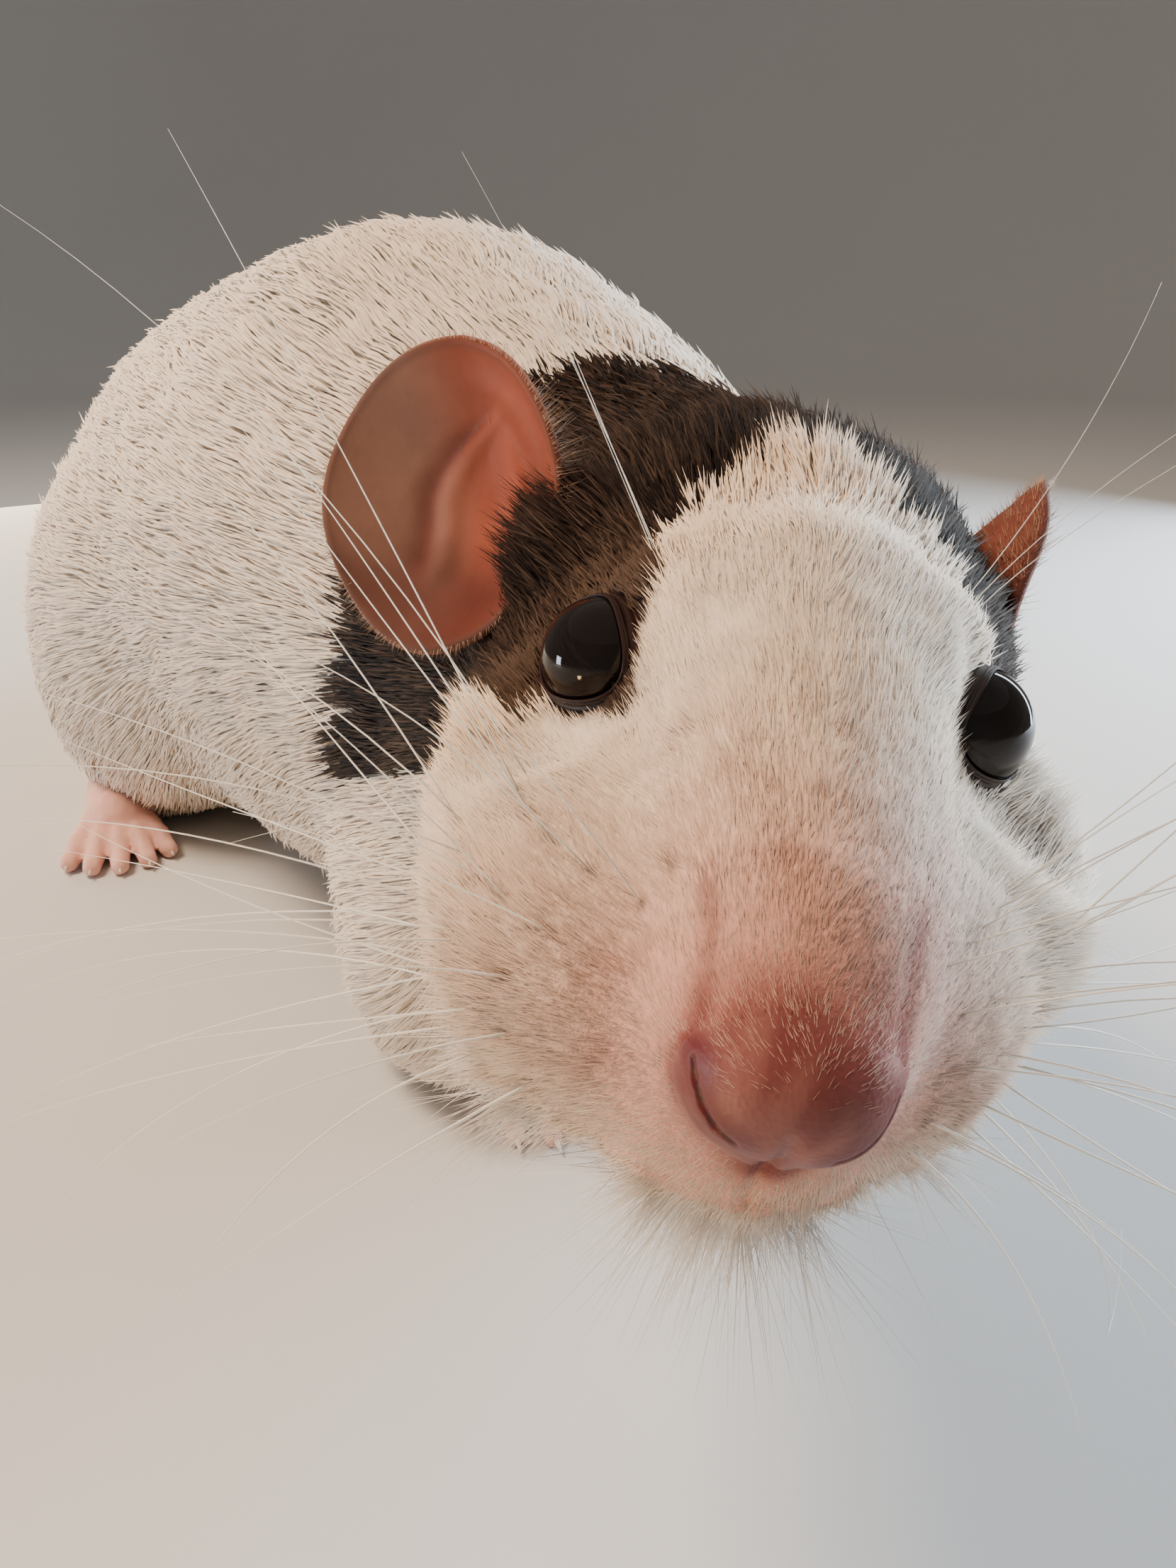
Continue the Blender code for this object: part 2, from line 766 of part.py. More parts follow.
def whisker(root, aim, length, droop, collection):
    """A bent spine of three sides, its root sunk into the pad."""
    root, aim = Vector(root), Vector(aim).normalized()
    side = aim.cross(Vector((0, 0, 1))).normalized()
    lift = side.cross(aim)
    net = bmesh.new()
    rings = []
    for station in (-WHISKER_SUNK, *[length * share for share in WHISKER_STATIONS]):
        share = max(0.0, station) / length
        middle = root + aim * station - lift * droop * share**2
        thick = WHISKER_RADIUS * (1.0 - WHISKER_TAPER * share)
        ring = []
        for corner in range(3):
            angle = 2 * math.pi * corner / 3
            spot = side * math.cos(angle) + lift * math.sin(angle)
            ring.append(net.verts.new(middle + spot * thick))
        rings.append(ring)
    tip = net.verts.new(root + aim * length - lift * droop)
    net.faces.new(rings[0][::-1])
    for ring, after in zip(rings, rings[1:]):
        for corner in range(3):
            nearby = (corner + 1) % 3
            net.faces.new((ring[corner], ring[nearby], after[nearby], after[corner]))
    for corner in range(3):
        net.faces.new((rings[-1][corner], rings[-1][(corner + 1) % 3], tip))
    bmesh.ops.triangulate(net, faces=net.faces)
    bmesh.ops.recalc_face_normals(net, faces=net.faces)
    mesh = bpy.data.meshes.new("whisker")
    net.to_mesh(mesh)
    net.free()
    return object_of("whisker", mesh, collection)


def between(ends, share):
    first, last = ends
    return first + (last - first) * share


def whiskers(forms, side, head_place, collection):
    """Rows of whiskers on one pad: the higher ones rise, the hinder ones are longer."""
    turn = head_place.to_3x3()
    (out, front_y, low_z), (_, back_y, high_z) = WHISKER_ROOTS
    for row in range(WHISKER_ROWS):
        for column in range(WHISKER_COLUMNS):
            up_share = 1.0 - row / (WHISKER_ROWS - 1)
            back_share = column / (WHISKER_COLUMNS - 1)
            height = between((low_z, high_z), up_share)
            start = Vector((side * out, between((front_y, back_y), back_share), height))
            rise = math.radians(between(WHISKER_RISE, up_share))
            sweep = math.radians(between(WHISKER_SWEEP, back_share))
            aim = Vector((
                side * math.cos(rise) * math.cos(sweep),
                math.cos(rise) * math.sin(sweep),
                math.sin(rise),
            ))
            outward = turn @ Vector((side, 0.0, (up_share - 0.5) * WHISKER_FAN))
            root = on_surface(forms, np.array(head_place @ start), np.array(outward))
            length = WHISKER_LONGEST * between((WHISKER_SHORTEST_SHARE, 1.0), back_share)
            whisker(root, turn @ aim, length, between(WHISKER_DROOP, up_share), collection)


# Parting the whole into nodes

def node(name, thing, parts):
    kind = name.split("_")[0]
    red, green, blue = COLOURS[kind]
    material = bpy.data.materials.new(name)
    material.use_nodes = True
    shader = material.node_tree.nodes["Principled BSDF"]
    furry = kind in ("head", "neck", "muzzle", "jaw", "torso", "thigh", "foreleg")
    bare = EYE_ROUGHNESS if kind == "eye" else SKIN_ROUGHNESS
    shader.inputs["Base Color"].default_value = (red, green, blue, 1.0)
    shader.inputs["Roughness"].default_value = FUR_ROUGHNESS if furry else bare
    shader.inputs["Metallic"].default_value = 0.0
    for holder in list(thing.users_collection):
        holder.objects.unlink(thing)
    parts.objects.link(thing)
    thing.name = name
    thing.data.name = name
    thing.data.materials.clear()
    thing.data.materials.append(material)
    thing.data.transform(Matrix.Scale(TO_METRES, 4))
    thing.data.shade_smooth()
    thing.data.set_sharp_from_angle(angle=math.radians(SHARP_ANGLE))
    return thing


def kept(thing, name, cutters, bench):
    """A copy of the thing with each cutter taken off or kept to, in turn."""
    piece = copied(thing, name, bench)
    for operation, cutter in cutters:
        boolean(piece, operation, cutter)
    return keep_largest(piece)


def make_head(forms, place, bench, parts):
    """Head, muzzle, jaw, nose and eyes."""
    turn = place.to_3x3()
    whole = blended("whole_head", forms, HEAD_NET, HEAD_SHARE, bench)
    swollen = grown(whole, bench)
    rings = new_collection("lid_rings")
    for side in (-1, 1):
        lid_ring(side, place, rings)
    union_of_collection(whole, rings)
    bpy.data.collections.remove(rings)
    for side in (-1, 1):
        centre = place @ eye_centre(side)
        pit = [EYE_RADIUS + GAP] * 3
        boolean(whole, "DIFFERENCE", round_cutter(centre, pit, bench))
        node(f"eye_{side_name(side)}", eye_ball("eye", side, place, bench), parts)
    nape = Vector(NAPE_NORMAL)
    boolean(whole, "INTERSECT", half_space(place @ Vector(NAPE_CUT), turn @ nape, bench))

    front_y, front_z = MOUTH_FRONT
    back_y, back_z = MOUTH_BACK
    lips = Vector((0.0, front_z - back_z, back_y - front_y)).normalized()
    mouth = Vector((0.0, front_y, front_z))
    below = half_space(place @ mouth, turn @ lips, bench)
    under = half_space(place @ (mouth + lips * GAP), turn @ lips, bench)
    ahead_at = Vector((0.0, back_y, 0.0))
    forward = Vector((0.0, -1.0, 0.0))
    ahead = half_space(place @ ahead_at, turn @ -forward, bench)
    front = half_space(place @ (ahead_at - forward * GAP), turn @ -forward, bench)
    wedge = kept(below, "wedge", [("INTERSECT", ahead)], bench)
    wedge_grown = kept(under, "wedge_grown", [("INTERSECT", front)], bench)
    cut_at = Vector((0.0, MUZZLE_CUT, 0.0))
    muzzle_side = half_space(place @ cut_at, turn @ -forward, bench)
    head_side = half_space(place @ (cut_at - forward * GAP), turn @ forward, bench)

    jaw = kept(whole, "jaw", [("INTERSECT", wedge)], bench)
    head = kept(whole, "head", [("DIFFERENCE", wedge_grown), ("INTERSECT", head_side)], bench)
    muzzle_cuts = [("DIFFERENCE", wedge_grown), ("INTERSECT", muzzle_side)]
    muzzle = kept(whole, "muzzle", muzzle_cuts, bench)

    nose = nose_pad(place, grown(muzzle, bench), bench)
    hairs = new_collection("whiskers")
    for side in (-1, 1):
        whiskers(forms, side, place, hairs)
    union_of_collection(muzzle, hairs)
    bpy.data.collections.remove(hairs)

    for name, thing in (("head", head), ("muzzle", muzzle), ("jaw", jaw), ("nose", nose)):
        node(name, thing, parts)
    return swollen


def make_ears(place, swollen, bench, parts):
    """Both ears, cut face to face with the head and the neck."""
    for name, values in EARS.items():
        cup = ear(**values, head_place=place, collection=bench)
        for body in swollen:
            boolean(cup, "DIFFERENCE", body)
        node(f"ear_{name}", keep_largest(cup), parts)


def beside(centre, offset, side):
    """A point of the head's frame, off the centre by an offset mirrored to one side."""
    return Vector(centre) + Vector((side * offset[0], offset[1], offset[2]))


def nose_pad(place, muzzle_grown, bench):
    forms = [ball(NOSE_CENTRE, NOSE_RADII)]
    for side in (-1, 1):
        spot = beside(NOSE_CENTRE, NOSE_WING_PLACE, side)
        forms.append(ball(spot, NOSE_WING_RADII, NOSE_WING_BLEND))
    forms = [moved(form, place) for form in forms]
    thing = blended("nose_whole", forms, NOSE_NET, NOSE_SHARE, bench)
    for side in (-1, 1):
        spot = place @ beside(NOSE_CENTRE, NOSTRIL_PLACE, side)
        boolean(thing, "DIFFERENCE", round_cutter(spot, NOSTRIL_RADII, bench, fineness=2))
    boolean(thing, "DIFFERENCE", muzzle_grown)
    return keep_largest(thing)


def side_name(side):
    return "right" if side < 0 else "left"


def make_trunk(place, bench, parts, floor):
    """Neck, torso, thighs and upper arms, parted by thin cuts."""
    whole = blended("whole_trunk", trunk_forms(), BODY_NET, BODY_SHARE, bench)
    boolean(whole, "DIFFERENCE", floor)
    swollen = grown(whole, bench)
    turn = place.to_3x3()
    nape = turn @ Vector(NAPE_NORMAL)
    behind_head = half_space(
        place @ Vector(NAPE_CUT) + nape.normalized() * GAP, -nape, bench
    )
    neck_normal = Vector(NECK_NORMAL).normalized()
    before_cut = half_space(NECK_CUT, neck_normal, bench)
    behind_cut = half_space(Vector(NECK_CUT) + neck_normal * GAP, -neck_normal, bench)
    holes = []
    limbs = (("thigh", THIGH, hips_matrix()), ("foreleg", ARM, Matrix.Identity(4)))
    for kind, (centre, radii), frame in limbs:
        for side in (-1, 1):
            spot = (centre[0] * side, centre[1], centre[2])
            inner = round_cutter(spot, radii, bench)
            outer = round_cutter(spot, radii, bench, by=GAP)
            inner.data.transform(frame)
            outer.data.transform(frame)
            limb = kept(whole, kind, [("INTERSECT", inner)], bench)
            node(f"{kind}_{side_name(side)}", limb, parts)
            holes.append(("DIFFERENCE", outer))
    torso = kept(whole, "torso", [("INTERSECT", behind_cut), *holes], bench)
    neck_cuts = [("INTERSECT", behind_head), ("INTERSECT", before_cut), *holes]
    neck = kept(whole, "neck", neck_cuts, bench)
    node("torso", torso, parts)
    node("neck", neck, parts)
    return swollen


def make_paws(swollen, floor, bench, parts):
    for kind, sizes in PAWS.items():
        frame = hips_matrix() if kind == "hindfoot" else Matrix.Identity(4)
        for side in (-1, 1):
            flip = np.array([side, 1.0, 1.0])
            own = dict(sizes)
            for end in ("heel", "toes"):
                own[end] = frame @ Vector(np.array(sizes[end]) * flip)
            forms, tips = foot_forms(**own)
            foot = blended(kind, forms, FOOT_NET, FOOT_SHARE, bench)
            claws = new_collection("claws")
            radius = sizes["toe_radius"] * CLAW_SHARE
            for tip, aim in tips:
                start = Vector(tip) - Vector(aim) * radius
                end = Vector(tip) + Vector(aim) * CLAW_LENGTH
                end.z = CLAW_TIP_HEIGHT
                cone_between(start, end, radius, CLAW_TIP, CLAW_SIDES, claws)
            union_of_collection(foot, claws)
            bpy.data.collections.remove(claws)
            boolean(foot, "DIFFERENCE", floor)
            boolean(foot, "DIFFERENCE", swollen)
            node(f"{kind}_{side_name(side)}", keep_largest(foot), parts)


def make_tail(swollen, floor, bench, parts):
    for number in range(TAIL_LENGTHS):
        piece = tail_length(number, bench)
        boolean(piece, "DIFFERENCE", floor)
        if number == 0:
            boolean(piece, "DIFFERENCE", swollen)
        node(f"tail_{number + 1}", keep_largest(piece), parts)


def stand_on_origin(parts):
    """Hangs the nodes on an empty that puts the box's bottom centre at the origin."""
    corners = [points_of(piece.data) for piece in parts.objects]
    low = np.min([points.min(axis=0) for points in corners], axis=0)
    high = np.max([points.max(axis=0) for points in corners], axis=0)
    root = bpy.data.objects.new(NAME, None)
    parts.objects.link(root)
    root.location = (-(low[0] + high[0]) / 2, -(low[1] + high[1]) / 2, -low[2])
    for piece in parts.objects:
        if piece is not root:
            piece.parent = root


def main():
    clear_scene()
    parts = new_collection(NAME)
    bench = new_collection("cutters")
    place = head_matrix()
    floor = half_space((0.0, 0.0, 0.0), (0.0, 0.0, 1.0), bench, size=600.0)
    forms = [moved(form, place) for form in head_forms()]
    forms.insert(1, ball(*NECK))
    swollen_head = make_head(forms, place, bench, parts)
    swollen = make_trunk(place, bench, parts, floor)
    make_ears(place, (swollen_head, swollen), bench, parts)
    make_paws(swollen, floor, bench, parts)
    make_tail(swollen, floor, bench, parts)
    for helper in list(bench.objects):
        bpy.data.objects.remove(helper)
    bpy.data.collections.remove(bench)
    stand_on_origin(parts)


main()
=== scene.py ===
"""Hooded rat: skin, coat, whiskers, eyes, ears, paws and tail, with the lights and the camera.

Lengths are millimetres, in the design frame of the solids, until a mesh is made.
The rat faces -Y, its right side is -X and the floor is z = 0.
The head has a frame of its own: its origin is midway between the eyes,
its X runs to the rat's left, its -Y to the nose and its Z to the crown.
"""

import math

import bmesh
import bpy
import numpy as np
from mathutils import Euler, Matrix, Quaternion, Vector


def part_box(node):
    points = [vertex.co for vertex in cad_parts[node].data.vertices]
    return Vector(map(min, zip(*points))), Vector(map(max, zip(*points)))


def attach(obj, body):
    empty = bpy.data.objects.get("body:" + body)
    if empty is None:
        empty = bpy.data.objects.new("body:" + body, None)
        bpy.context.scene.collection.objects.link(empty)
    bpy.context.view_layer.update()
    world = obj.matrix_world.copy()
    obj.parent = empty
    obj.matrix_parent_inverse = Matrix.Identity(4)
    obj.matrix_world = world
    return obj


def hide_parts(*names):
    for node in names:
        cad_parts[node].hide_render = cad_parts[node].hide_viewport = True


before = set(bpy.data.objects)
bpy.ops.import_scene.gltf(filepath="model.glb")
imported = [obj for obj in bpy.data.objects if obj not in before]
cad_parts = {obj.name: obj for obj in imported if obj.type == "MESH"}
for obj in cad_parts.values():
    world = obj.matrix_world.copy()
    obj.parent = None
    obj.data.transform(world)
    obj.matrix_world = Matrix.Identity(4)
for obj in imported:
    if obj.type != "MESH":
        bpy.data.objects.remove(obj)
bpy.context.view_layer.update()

TO_METRES = 0.001
BODY = "root"
SEED = 20
SIDES = {"right": -1, "left": 1}

# Head pose
HEAD_PLACE = (-12.0, -22.0, 46.5)
HEAD_TURN = 29.0
HEAD_PITCH = -4.0
HEAD_ROLL = 9.5

# Eyes and lids
EYE_RADIUS = 3.1
EYE_PLACE = (9.3, -0.6, 0.6)
EYE_SIDEWAYS = 50.0
EYE_UPWARD = 20.0
EYE_DISH = 9.0
EYE_DISH_OUT = 9.8

# Ears
EAR_HALF_WIDTH = 9.0
EAR_HALF_HEIGHT = 9.8
EAR_INNER_SIDE = 0.12
EAR_CUP = 3.6
EAR_THICKNESS = 0.5
EARS = {
    "right": {
        "side": -1, "root": (-14.0, 14.0, 7.2), "out": (-14.5, 5.0, -2.5), "up": (1.2, 4.0, 18.5),
    },
    "left": {
        "side": 1, "root": (13.4, 14.4, 4.6), "out": (4.4, 14.0, -2.0), "up": (1.8, 4.0, 18.0),
    },
}

# Nose and mouth
MUZZLE_SHIFT = -1.4
PAD_OUT = 6.2
PAD_RADII = (7.0, 9.6, 7.0)
PAD_TURN = 22.0
NOSE_CENTRE = (-0.2, -24.9, -6.8)
NOSE_RADII = (2.4, 2.1, 2.2)
NOSE_SUNK = 0.35
NOSE_BLEND = 2.2
NOSE_FINE = 8.0
NOSE_CREASE_WIDTH = 0.8
NOSTRIL_AIMS = np.array((
    (1.35, -1.20, -1.20), (1.75, -1.00, -0.90), (2.15, -0.80, -0.50),
    (2.50, -0.55, 0.00), (2.70, -0.30, 0.45),
))
NOSTRIL_RADII = (0.06, 0.14, 0.17, 0.13, 0.05)
NOSTRIL_SUNK = 0.02
NOSTRIL_BLEND = 0.25
NOSTRIL_SHARE = {-1: 1.0, 1: 0.3}
ALAR_FOLD = np.array(((3.1, -24.6, -5.6), (3.6, -23.6, -3.8), (3.5, -22.4, -2.6), (3.8, -20.8, -2.0)))
ALAR_FOLD_WIDTH = 0.55
MOUTH_FRONT = (-20.5, -14.2)
MOUTH_BACK = (-3.0, -12.2)
MOUTH_SLANT = (MOUTH_FRONT[1] - MOUTH_BACK[1]) / (MOUTH_FRONT[0] - MOUTH_BACK[0])
MOUTH_DEPTH = 0.5
CLEFT_DEPTH = 0.30
LIP_CENTRE = -9.0
LIP_SPREAD = 70.0
LIP_STEPS = 8
LIP_APART = 0.85
LIP_SUNK = 0.55
LIP_RADIUS = 0.85
LIP_BLEND = 0.8

# Legs and paws
NECK = ((-1.0, 4.0, 39.0), (18.5, 19.0, 19.0))
HIPS_PIVOT = 30.0
HIPS_TURN = 8.0
THIGH = ((27.0, 102.0, 22.0), (15.0, 27.0, 24.0))
ARM = ((19.5, 20.0, 13.0), (9.5, 15.0, 14.0))
PAWS = {
    "forepaw": {
        "heel": (14.5, 21.0, 3.2), "toes": (12.5, 3.0, 1.6), "length": 17.0,
        "width": 7.0, "toe_length": 7.5, "toe_radius": 0.95, "count": 4,
    },
    "hindfoot": {
        "heel": (30.0, 116.0, 4.0), "toes": (37.5, 78.0, 1.8), "length": 38.0,
        "width": 9.0, "toe_length": 12.0, "toe_radius": 1.35, "count": 5,
    },
}
CLAW_LENGTH = 2.4

# Tail
TAIL_LENGTH = 184.0
TAIL_RADIUS = 4.6
TAIL_TIP_RADIUS = 1.1
TAIL_ROOT = (0.0, 140.0, 13.0)
TAIL_BEND_RADIUS = 78.0
TAIL_RING = 0.95

# Camera: how far right, down and ahead of the lens the point between the eyes lies
PHOTO_LONG_SIDE = 2212
FOCAL_PIXELS = 1650.0
SENSOR = 36.0
CAMERA_PITCH = 22.0
CAMERA_YAW = 24.0
HEAD_FROM_LENS = (9.8, -4.2, 59.2)


# Frames

def head_turn():
    angles = (HEAD_PITCH, HEAD_ROLL, -HEAD_TURN)
    return Euler([math.radians(angle) for angle in angles], "XYZ").to_matrix()


HEAD = Matrix.Translation(HEAD_PLACE) @ head_turn().to_4x4()
HEAD_AXES = np.array(head_turn())


def node_centre(node):
    low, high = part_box(node)
    return (np.array(low) + np.array(high)) / 2 / TO_METRES


def row_shift():
    """How far the solids' own origin is from the design's, found from the two eyes."""
    between = (node_centre("eye_right") + node_centre("eye_left")) / 2
    design = HEAD @ Vector((0.0, EYE_PLACE[1], EYE_PLACE[2]))
    return between - np.array(design)


SHIFT = row_shift()


def to_head(points):
    return (points - np.array(HEAD_PLACE)) @ HEAD_AXES


def from_head(points):
    return np.asarray(points, float) @ HEAD_AXES.T + np.array(HEAD_PLACE)


def unit(vectors):
    return vectors / np.maximum(np.linalg.norm(vectors, axis=-1, keepdims=True), 1e-9)


def ramp(value, low, high):
    """0 below low, 1 above high, smooth between."""
    share = np.clip((value - low) / (high - low), 0.0, 1.0)
    return share * share * (3.0 - 2.0 * share)


def norms(vectors):
    return np.linalg.norm(vectors, axis=1)


def bell(value, width):
    """1 where the value is 0, falling away smoothly over the width."""
    return np.exp(-((value / width) ** 2))


def waves(points, size, seed):
    """A smooth random value from about -1 to 1, with features of the given size."""
    rng = np.random.default_rng(seed)
    total = np.zeros(len(points))
    for _ in range(7):
        aim = unit(rng.normal(size=3)) * (2 * math.pi / size) * rng.uniform(0.6, 1.5)
        total += np.sin(points @ aim + rng.uniform(0, 2 * math.pi))
    return total / 3.5


NOSE = from_head(NOSE_CENTRE)


def off_nose(points):
    return norms(points - NOSE)


# Rounded forms, as in the solids: a field blends them

def ball(centre, radii, turn=(0.0, 0.0, 0.0), blend=5.0):
    angles = [math.radians(angle) for angle in turn]
    return {
        "kind": "ball",
        "centre": np.array(centre, float),
        "radii": np.array(radii, float),
        "axes": np.array(Euler(angles, "XYZ").to_matrix()),
        "blend": blend,
    }


def bone(start, end, start_radius, end_radius, blend=5.0):
    return {
        "kind": "bone",
        "start": np.array(start, float),
        "end": np.array(end, float),
        "radii": (start_radius, end_radius),
        "blend": blend,
    }


def mirrored(form):
    flip = np.array([-1.0, 1.0, 1.0])
    twin = dict(form)
    if form["kind"] == "ball":
        twin["centre"] = form["centre"] * flip
        twin["axes"] = flip[:, None] * form["axes"] * flip[None, :]
    else:
        twin["start"] = form["start"] * flip
        twin["end"] = form["end"] * flip
    return twin


def both_sides(*forms):
    return [*forms, *[mirrored(form) for form in forms]]


def hollow(form):
    """The same form, taken out of those before it in place of added to them."""
    twin = dict(form)
    twin["hollow"] = True
    return twin


def moved(form, matrix):
    turn = np.array(matrix.to_3x3())
    place = np.array(matrix.translation)
    twin = dict(form)
    if form["kind"] == "ball":
        twin["centre"] = turn @ form["centre"] + place
        twin["axes"] = turn @ form["axes"]
    else:
        twin["start"] = turn @ form["start"] + place
        twin["end"] = turn @ form["end"] + place
    return twin


def on_head(form):
    return moved(form, HEAD)


def distance(form, points):
    """Roughly how far each point is outside one form."""
    if form["kind"] == "ball":
        local = (points - form["centre"]) @ form["axes"]
        scaled = norms(local / form["radii"])
        steep = norms(local / form["radii"] ** 2)
        return scaled * (scaled - 1.0) / np.maximum(steep, 1e-9)
    along = form["end"] - form["start"]
    share = np.clip((points - form["start"]) @ along / (along @ along), 0.0, 1.0)
    nearest = form["start"] + share[:, None] * along
    first, last = form["radii"]
    return norms(points - nearest) - (first + share * (last - first))


def joined(total, form, points):
    """Blends one more form into a field, or takes it out."""
    sign = -1.0 if form.get("hollow") else 1.0
    total, other = total * sign, distance(form, points)
    near = np.maximum(form["blend"] - np.abs(total - other), 0.0)
    return sign * (np.minimum(total, other) - near**2 / (4.0 * form["blend"]))


def field(forms, points):
    """The smooth union of the forms: below zero inside, above zero outside."""
    total = distance(forms[0], points)
    for form in forms[1:]:
        total = joined(total, form, points)
    return total


def slope(level, points, step=0.04):
    found = np.empty_like(points)
    for axis in range(3):
        shift = np.zeros(3)
        shift[axis] = step
        found[:, axis] = (level(points + shift) - level(points - shift)) / (2.0 * step)
    return found


def settle(level, points, rounds=6, most=1.2):
    """Moves points along the slope until they lie where the level is zero."""
    for _ in range(rounds):
        steep = slope(level, points)
        length = np.maximum(norms(steep), 0.25)
        move = np.clip(level(points) / length, -most, most)
        points = points - move[:, None] * steep / length[:, None]
    return points


def normals_of(level, points, step=0.04):
    return unit(slope(level, points, step))


def reach(level, starts, aims, farthest=30.0):
    """How far each ray runs before it leaves the inside of a level."""
    inside = np.zeros(len(starts))
    outside = np.full(len(starts), farthest)
    for _ in range(36):
        middle = (inside + outside) / 2
        within = level(starts + middle[:, None] * aims) < 0
        inside = np.where(within, middle, inside)
        outside = np.where(within, outside, middle)
    return inside


def path_on(level, starts, aims, sunk, farthest=30.0):
    """Where rays from inside leave a level, drawn back into it a little."""
    far = reach(level, starts, aims, farthest)
    return starts + aims * (far - sunk)[:, None]


# The rat's own forms

def head_forms():
    """The head out to the tips of its short coat, in the head's frame."""
    forms = [
        ball((0.0, 12.0, -1.5), (13.0, 16.0, 13.2)),
        bone((0.0, -2.0, 1.2), (0.0, -19.0, -4.6), 8.2, 5.2, blend=5.0),
    ]
    forms += both_sides(
        ball((7.8, 6.0, -7.2), (8.2, 11.0, 8.8), blend=5.0),
        ball((9.9, -3.4, -7.4), (6.6, 8.8, 7.4), blend=4.0),
        ball((5.4, -1.2, 3.2), (3.6, 5.2, 3.5), blend=3.0),
    )
    for side in (-1, 1):
        pad = (MUZZLE_SHIFT + side * PAD_OUT, -11.8, -9.0)
        forms.append(ball(pad, PAD_RADII, turn=(0, 0, -PAD_TURN * side), blend=3.0))
    forms += [
        ball((-0.4, -22.0, -7.0), (4.0, 4.0, 3.8), blend=3.0),
        ball((-0.8, -18.4, -11.7), (5.6, 4.8, 3.8), blend=3.0),
        bone((-0.3, -15.0, -15.2), (0.0, 4.0, -13.5), 3.9, 8.0, blend=3.0),
        ball((0.0, 17.0, -8.0), (13.5, 14.0, 13.0), blend=6.0),
    ]
    return forms + [eye_dish(side) for side in (-1, 1)]


def mouth_height(ahead):
    """The height of the mouth's plane, which slants down to the front."""
    return MOUTH_FRONT[1] + (ahead - MOUTH_FRONT[0]) * MOUTH_SLANT


def lip_forms(forms):
    """A roll along each lip, just above and just below the mouth."""
    angles = np.radians(np.linspace(-LIP_SPREAD, LIP_SPREAD, LIP_STEPS + 1))
    aims = np.stack([np.sin(angles), -np.cos(angles), -np.cos(angles) * MOUTH_SLANT], axis=1)
    rolls = []
    for offset in (LIP_APART, -LIP_APART):
        starts = np.tile((0.0, LIP_CENTRE, mouth_height(LIP_CENTRE) + offset), (len(aims), 1))
        path = path_on(lambda points: field(forms, points), starts, aims, LIP_SUNK)
        for first, second in zip(path, path[1:]):
            rolls.append(bone(first, second, LIP_RADIUS, LIP_RADIUS, blend=LIP_BLEND))
    return rolls


def trunk_forms():
    """Neck, trunk, thighs and upper arms out to the tips of the coat."""
    thigh_centre, thigh_radii = THIGH
    arm_centre, arm_radii = ARM
    rear = [
        ball((0.0, 64.0, 36.0), (33.0, 46.0, 38.0), blend=14.0),
        ball((0.0, 100.0, 33.5), (34.0, 42.0, 35.5), blend=14.0),
        ball((0.0, 134.0, 17.0), (12.0, 16.0, 13.0), blend=12.0),
    ]
    rear += both_sides(ball(thigh_centre, np.array(thigh_radii) - 1.5, blend=9.0))
    forms = [
        ball((0.0, 28.0, 31.0), (24.0, 34.0, 29.0)),
        *[moved(form, HIPS) for form in rear],
        ball(NECK[0], NECK[1], blend=12.0),
    ]
    forms += both_sides(ball(arm_centre, np.array(arm_radii) - 1.5, blend=7.0))
    return forms


# Eyes' places, and the level of the skin

def eye_centre_on_head(side):
    return np.array((side * EYE_PLACE[0], EYE_PLACE[1], EYE_PLACE[2]))


def eye_axis_on_head(side):
    sideways, upward = math.radians(EYE_SIDEWAYS), math.radians(EYE_UPWARD)
    return np.array((
        side * math.sin(sideways) * math.cos(upward),
        -math.cos(sideways) * math.cos(upward),
        math.sin(upward),
    ))


def eye_dish(side):
    """A shallow dish round the eye, which lets it bulge."""
    centre = eye_centre_on_head(side) + eye_axis_on_head(side) * EYE_DISH_OUT
    return hollow(ball(centre, [EYE_DISH] * 3, blend=1.2))


def hips_matrix():
    """The bend of the back: what lies behind the middle turns to the rat's right."""
    pivot = Matrix.Translation((0.0, HIPS_PIVOT, 0.0))
    turn = Matrix.Rotation(math.radians(HIPS_TURN), 4, "Z")
    return pivot @ turn @ pivot.inverted()


HIPS = hips_matrix()
HEAD_FORMS = head_forms()
LIPS = [on_head(form) for form in lip_forms(HEAD_FORMS)]
OUTLINE_FORMS = [on_head(form) for form in HEAD_FORMS] + trunk_forms()


def eye_centre(side):
    return from_head(eye_centre_on_head(side))


def eye_axis(side):
    return HEAD_AXES @ eye_axis_on_head(side)


def eye_distance(points):
    """How far each point is from the nearer eye's axis, where it is near an eye."""
    nearest = np.full(len(points), 99.0)
    for side in (-1, 1):
        offset = points - eye_centre(side)
        along = offset @ eye_axis(side)
        across = norms(offset - along[:, None] * eye_axis(side))
        nearest = np.minimum(nearest, np.where(along > -1.0, across, 99.0))
    return nearest


def eye_gap(points):
    """How far each point is from the centre of the nearer eye."""
    return np.min([norms(points - eye_centre(side)) for side in (-1, 1)], axis=0)


COAT_DEPTHS = ((3, 9, 20, 34, 50, 75), (0.12, 0.35, 0.62, 0.85, 1.1, 1.2))


def coat_depth(points):
    """How deep the skin lies under the outline."""
    from_nose = off_nose(points)
    depth = np.interp(from_nose, *COAT_DEPTHS)
    near_eye = 1.0 - ramp(eye_distance(points), 3.0, 6.5)
    depth = depth * (1.0 - near_eye) + np.minimum(depth, 0.35) * near_eye
    low = 1.0 - ramp(points[:, 2], 2.0, 12.0)
    return depth * (1.0 - 0.75 * low)


